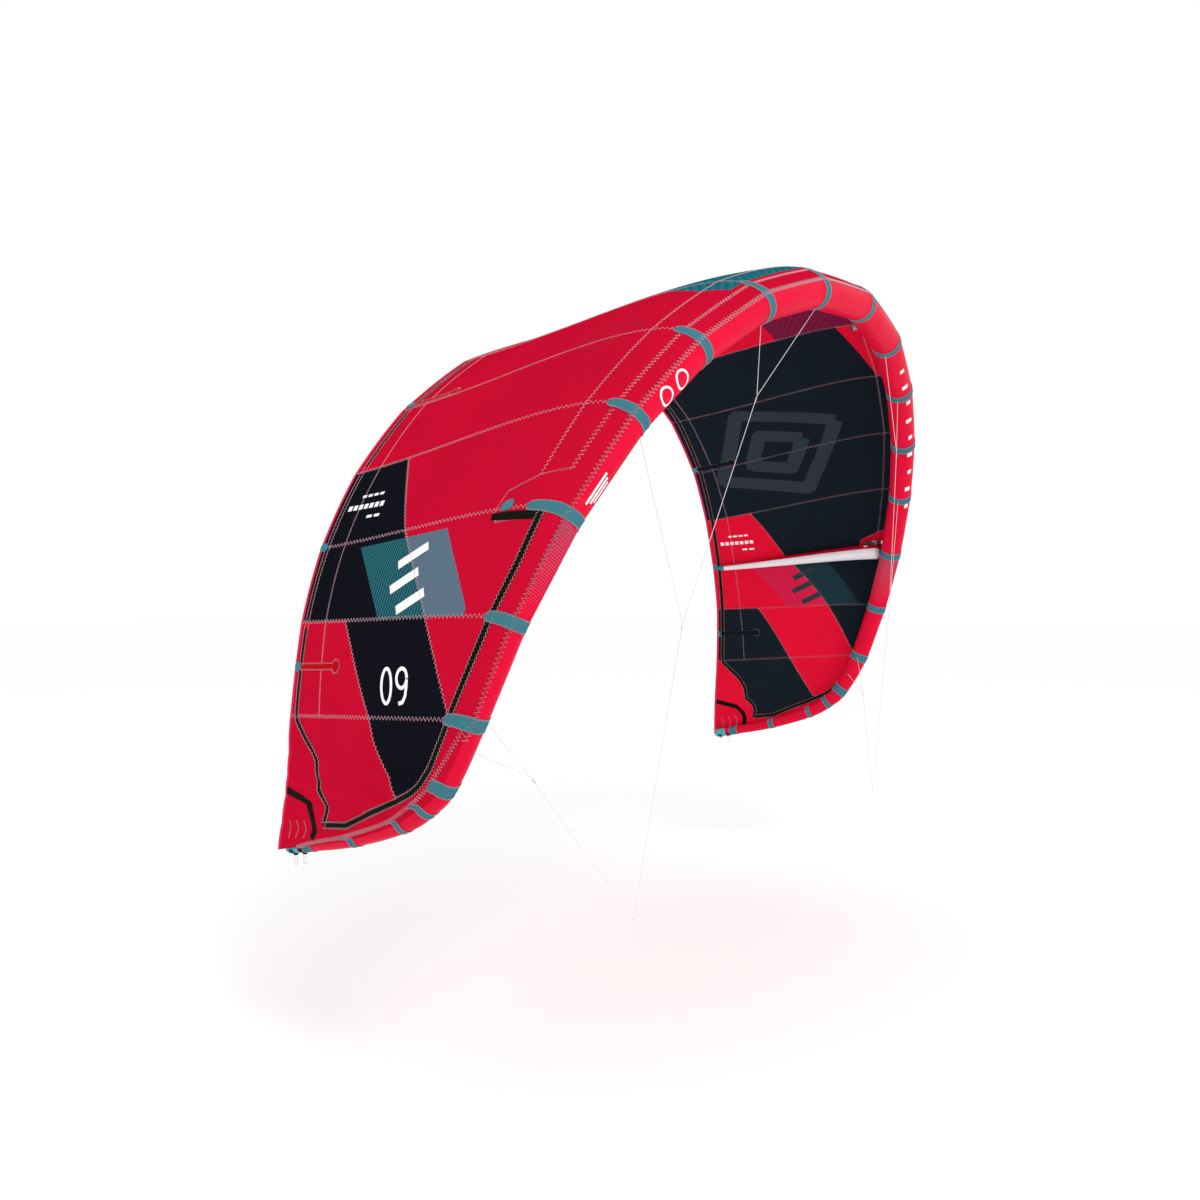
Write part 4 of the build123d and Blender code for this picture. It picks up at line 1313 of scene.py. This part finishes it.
def make_strut_skin(name, strut):
    """The inflated skin: a rounded nose, then rings that are a little fuller on the lower side."""
    heading, up, tipward = strut.axes(strut.first)
    circle = around(up, tipward, STRUT_SIDES) * strut.radius(strut.first)
    nose = strut.centre(strut.first)
    rings = [nose + heading * shift + circle * shrink for shrink, shift in STRUT_ROUNDING]
    stations = np.linspace(strut.first, strut.last - STRUT_CAP, 60)[1:]
    for s in stations:
        _, up, tipward = strut.axes(s)
        fullness = STRUT_FULLNESS * (strut.last - s) / strut.last
        circle = around(up, tipward, STRUT_SIDES) * (strut.radius(s) + fullness)
        rings.append(strut.centre(s) + circle - up * fullness)
    lengths = np.array([*(shift for _, shift in STRUT_ROUNDING), *stations])
    girth = np.arange(STRUT_SIDES) * 2 * pi / STRUT_SIDES * 0.03
    flat = np.stack(np.broadcast_arrays(lengths[:, None], girth[None]), -1)
    mesh = Mesh()
    mesh.add(np.concatenate(rings), tube_faces(len(rings), STRUT_SIDES), flat.reshape(-1, 2))
    piece = mesh.build(f"strut_skin_{name}", "strut_white", "strut_red")
    low, high = STRUT_WHITE
    colours = [0 if low < (j + 0.5) / STRUT_SIDES * 360 < high else 1 for j in range(STRUT_SIDES)]
    piece.data.polygons.foreach_set("material_index", colours * (len(rings) - 1) + [1, 0])
    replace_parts(piece, f"strut_{name}")


def make_strut_gusset(name, strut):
    """Cloth that closes the space between the strut's shoulders and the canopy, with its stitching."""
    rows, middles = [], []
    for s in np.linspace(strut.first + 0.02, strut.last - STRUT_CAP, 50):
        _, up, tipward = strut.axes(s)
        centre, radius = strut.centre(s), strut.radius(s)
        top = centre + up * (radius + STRUT_GAP + CLOTH - SHEET - 0.004)
        wide, shoulder = tipward * radius * 0.9, centre + up * radius * 0.5904
        rows.append([top + wide, shoulder + tipward * radius * 0.779, centre + up * radius * 0.9,
                     shoulder - tipward * radius * 0.779, top - wide])
        middles.append(centre)
    points = np.array(rows)
    gusset, stitches = Mesh(), Mesh()
    gusset.add(points.reshape(-1, 3), tube_faces(len(points), 5))
    gusset.build(f"strut_gusset_{name}", "strut_red")
    for index in (1, 3):
        normals = unit(points[:, index] - np.array(middles))
        places, out = resample(points[:, index] + normals * 0.0015, normals, 0.006)
        add_swings(stitches, places, out, sideways(places, out), 0.0025)
    stitches.build(f"strut_stitching_{name}", "thread")


def make_strut_caps():
    mesh = Mesh()
    end = STRUT_TAIL_RADIUS * 0.6
    for strut in STRUTS.values():
        s = strut.last - STRUT_CAP + 0.0005
        r = strut.radius(s)
        lathe(mesh, strut.centre(s), strut.axes(s)[0], [
            (r * 1.03, -0.012), (r * 1.05, 0), (r, 0.012), (r * 0.86, 0.024), (end * 1.05, 0.034),
            (end * 0.7, 0.038), (0.002, 0.0395)])
    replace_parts(mesh.build("strut_caps", "cap_teal"), "strut_tail_caps")


# ---- hoses, clips and the valve -----------------------------------------------------------------
HOSE_RADIUS = 0.009
HOSE_START, HOSE_RUN, HOSE_LEAN, HOSE_HEIGHT = 0.009, 0.095, 0.027, 0.030
CLIP = (0.026, 0.026, 0.024)
LEVER = (0.005, 0.034)
LEVER_HINGE = CLIP[1] / 2 + 0.004


class Hose:
    """A short air hose beside a strut's nose, with the frame's ends and bend."""

    def __init__(self, strut):
        self.strut, side = strut, strut.side
        self.across = np.cross(strut.out, strut.back) * side
        offset = STRUT_NOSE_RADIUS + HOSE_LEAN
        beside = self.across * offset
        slant = strut.along @ self.across
        radius = RADIUS[strut.seam]
        tube_back = radius / abs(slant) + offset * (strut.along @ strut.back) / slant
        end = radius + HOSE_START + HOSE_RUN
        self.mouth = strut.nose + strut.back * (tube_back + HOSE_START) + strut.out * HOSE_HEIGHT + beside
        self.elbow = strut.centre(end) + beside
        self.entry = strut.centre(end) + self.across * (strut.radius(end) + 0.003)
        self.middle = self.mouth + (self.elbow - self.mouth) * 0.45
        self.heading = unit(self.elbow - self.mouth)
        self.up = unit(np.cross(self.heading, self.across))
        if self.up @ strut.out < 0:
            self.up = -self.up


HOSES = {name: Hose(strut) for name, strut in STRUTS.items()}


def swept(mesh, centres, radii, count=20):
    """A round skin with a radius at each centre."""
    centres, radii = np.array(centres), np.array(radii)
    heading = unit(np.gradient(centres, axis=0))
    x = unit(np.cross(heading, (0.21, 0.37, 0.9)))
    rings = centres[:, None] + around(x[:, None], np.cross(heading, x)[:, None], count) * radii[:, None, None]
    mesh.add(rings.reshape(-1, 3), tube_faces(len(rings), count))


def add_collar(mesh, base, axis, radius, depth):
    """A welded flange with a short sleeve for a hose's end."""
    lathe(mesh, base, axis, [(radius - 0.001, 0), (radius, 0.002), (0.0135, 0.004), (0.0125, depth - 0.002),
                             (0.0118, depth), (0.009, depth)])


def make_hoses():
    hoses, collars = Mesh(), Mesh()
    for hose in HOSES.values():
        t = np.linspace(0, 1, 15)[:, None]
        inward = unit(hose.entry - hose.elbow)
        start = hose.mouth - hose.heading * 0.004
        bend_in = hose.elbow - hose.heading * 0.017
        bend_out = hose.elbow + inward * 0.012
        curve = bend_in * (1 - t) ** 2 + hose.elbow * 2 * t * (1 - t) + bend_out * t**2
        line = np.concatenate([np.linspace(start, bend_in, 12)[:-1], curve, [hose.entry]])
        places, _ = resample(line, line - line.mean(0) + 1e-6, 0.00075)
        swept(hoses, places, HOSE_RADIUS * (0.93 + 0.10 * np.abs(np.sin(np.arange(len(places)) * pi / 6))))
        add_collar(collars, hose.mouth - hose.heading * 0.012, hose.heading, 0.020, 0.015)
        add_collar(collars, hose.entry + inward * 0.006, -inward, 0.019, 0.013)
    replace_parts(hoses.build("corrugated_hoses", "hose"), "transfer_hoses")
    collars.build("hose_collars", "collar")


def rounded_box(mesh, centre, axes, size, bevel):
    """A block with rounded edges along three axes."""
    block = bmesh.new()
    bmesh.ops.create_cube(block, size=1)
    bmesh.ops.scale(block, vec=size, verts=block.verts)
    bmesh.ops.bevel(block, geom=block.edges[:], offset=bevel, segments=4, profile=0.5, affect="EDGES")
    block.verts.index_update()
    local = np.array([vert.co for vert in block.verts])
    faces = [[vert.index for vert in face.verts] for face in block.faces]
    block.free()
    mesh.add(np.array(centre) + local @ np.array(axes), faces)


def make_clips():
    bodies = Mesh()
    for name, hose in HOSES.items():
        axes = (hose.across, hose.up, hose.heading)
        rounded_box(bodies, hose.middle, axes, CLIP, 0.005)
        for shift in (-1, 1):
            end = hose.middle + hose.heading * (CLIP[2] / 2 * shift - 0.002 + 0.0005 * shift)
            lathe(bodies, end, hose.heading, [(0.0125, 0), (0.0128, 0.001), (0.0128, 0.003), (0.0125, 0.004)])
        lever = Mesh()
        hinge = hose.middle - hose.up * LEVER_HINGE - hose.heading * CLIP[2] / 2
        centre = hinge + hose.heading * LEVER[1] / 2
        rounded_box(lever, centre, axes, (CLIP[0] - 0.006, LEVER[0] - 0.0006, LEVER[1]), 0.002)
        for k in range(4):
            at = centre + hose.heading * (0.004 + 0.0028 * k) - hose.up * (LEVER[0] / 2 - 0.0004)
            rounded_box(lever, at, axes, (CLIP[0] - 0.010, 0.0012, 0.0014), 0.0005)
        piece = lever.build(f"clip_lever_grip_{name}", "valve_black", body=f"clip_lever_{name}")
        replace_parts(piece, f"hose_clip_lever_{name}")
    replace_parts(bodies.build("hose_clips", "clip_grey"), "hose_clip_bodies")


VALVE_AT = 0.150
FLANGE = (0.021, 0.003)
TOWER = 0.013
CAP = (0.015, 0.005)
CAP_HINGE = 0.020
GRIPS = 24


def valve_axes():
    """The valve's middle, its outward axis and the direction along the tube."""
    back = unit(TAIL[0] - NOSE[0])
    out = unit(back * cos(radians(35)) - OUT[0] * sin(radians(35)))
    along = unit(NOSE[1] - NOSE[0])
    out = unit(out - along * (out @ along))
    radius = RADIUS[0] + (RADIUS[1] - RADIUS[0]) * VALVE_AT / np.linalg.norm(NOSE[1])
    return NOSE[0] + along * VALVE_AT + out * (radius + 0.0005), out, along


def make_valve():
    centre, out, along = valve_axes()
    axes = (along, np.cross(out, along), out)
    body, cap = Mesh(), Mesh()
    lathe(body, centre, out, [(FLANGE[0], -0.0010), (FLANGE[0], 0.0012), (FLANGE[0] - 0.0015, 0.0026),
                              (0.0145, 0.0030), (0.0132, 0.0042), (0.0130, 0.0150), (0.0124, 0.0160),
                              (0.0104, 0.0160), (0.0102, 0.004), (0.004, 0.003)], count=40)
    for k in range(3):
        lathe(body, centre + out * (0.006 + 0.003 * k), out,
              [(0.0128, 0), (0.0137, 0.0005), (0.0137, 0.0011), (0.0128, 0.0016)], count=40)
    rounded_box(body, centre + along * CAP_HINGE + out * 0.0085, axes, (0.0048, 0.0078, 0.0115), 0.001)
    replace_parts(body.build("valve_body", "valve_grey"), "inflate_valve_body")
    base = centre + out * (FLANGE[1] + TOWER + 0.0004)
    lathe(cap, base, out, [(0.0140, 0), (CAP[0], 0.0010), (CAP[0], 0.0038), (0.0138, 0.0049), (0.008, 0.0050),
                           (0.0072, 0.0042), (0.0010, 0.0042)], count=40)
    for ray in around(axes[0], axes[1], GRIPS):
        grip = (ray, np.cross(out, ray), out)
        rounded_box(cap, base + ray * 0.0150 + out * 0.0024, grip, (0.0010, 0.0016, 0.0030), 0.0003)
    rounded_box(cap, base + along * 0.0165 + out * 0.0022, axes, (0.011, 0.0074, 0.0036), 0.0008)
    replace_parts(cap.build("valve_cap", "valve_black", body="valve_cap"), "inflate_valve_cap")


# ---- tips and nose details ----------------------------------------------------------------------
def make_tip_details():
    """Teal covers at the tube's ends, tabs that hold the back line loops, and nose patches."""
    covers, tabs, patches = Mesh(), Mesh(), Mesh()
    up = np.array((0, 0, 1.0))
    turns = np.radians(np.linspace(-75, 75, 21))[:, None]
    for side in SIDES.values():
        v = np.linspace(12.35, RING_COUNT, 10) * side
        add_slab(covers, *on_tube(v[:, None], np.linspace(0, 360, 33)[None], 0.0006), 0.001)
        run = unit(NOSE[-1] - NOSE[-2]) * side_of(side)
        wide = unit(np.cross(run, up))
        outs = wide * np.sin(turns) - up * np.cos(turns)
        columns = run * np.array((-1, -0.8, 0, 0.8, 1))[:, None] * 0.005
        for shift in LOOP_SHIFTS:
            for gap in (-LOOP_GAP / 2, LOOP_GAP / 2):
                at = NOSE[-1] * side_of(side) + run * (shift + gap)
                places = (at + outs * (RADIUS[-1] + 0.003))[:, None] + columns
                add_slab(tabs, places, np.repeat(outs[:, None], len(columns), 1), 0.0012)
                eye = at - up * (RADIUS[-1] + LOOP_CLEAR - 0.001)
                rounded_box(tabs, eye, (run, wide, up), (0.007, 0.009, 0.009), 0.002)
        add_disc(patches, 4.97 * side, 0.150, OUTER, (0.030, 0.019), 0.0016, 0.0014, 0.5)
    covers.build("tube_end_covers", "tape_teal")
    tabs.build("loop_tabs", "tape_black")
    patches.build("nose_patches", "cap_teal")


def make_bladders():
    """The air bladders inside the tube and the struts."""
    mesh, inner = Mesh(), Mesh()
    v = np.linspace(-12.9, 12.9, 260)
    angle = np.linspace(0, 360, 25)[:-1]
    place, _ = on_tube(v[:, None], angle[None], -0.006)
    place = np.where((v < 0)[:, None, None], np.roll(place[:, ::-1], 1, 1), place)
    mesh.add(place.reshape(-1, 3), tube_faces(len(v), len(angle)))
    for strut in STRUTS.values():
        stations = np.linspace(strut.first + 0.02, strut.last - STRUT_CAP - 0.01, 30)
        swept(inner, [strut.centre(s) for s in stations], [strut.radius(s) - 0.005 for s in stations])
    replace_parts(mesh.build("tube_bladder", "bladder"), "leading_edge_bladder")
    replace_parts(inner.build("strut_air_bladders", "bladder"), "strut_bladders")


make_stage()
for wing_name, wing_side in SIDES.items():
    make_bridle(wing_name, wing_side)
    make_loops(wing_name, wing_side)
make_canopy()
make_leading_edge()
make_bands()
make_edge_tape()
make_strips()
make_seams()
make_batten_pockets()
make_prints()
for strut_name, one_strut in STRUTS.items():
    make_strut_skin(strut_name, one_strut)
    make_strut_gusset(strut_name, one_strut)
make_strut_caps()
make_hoses()
make_clips()
make_valve()
make_tip_details()
make_bladders()
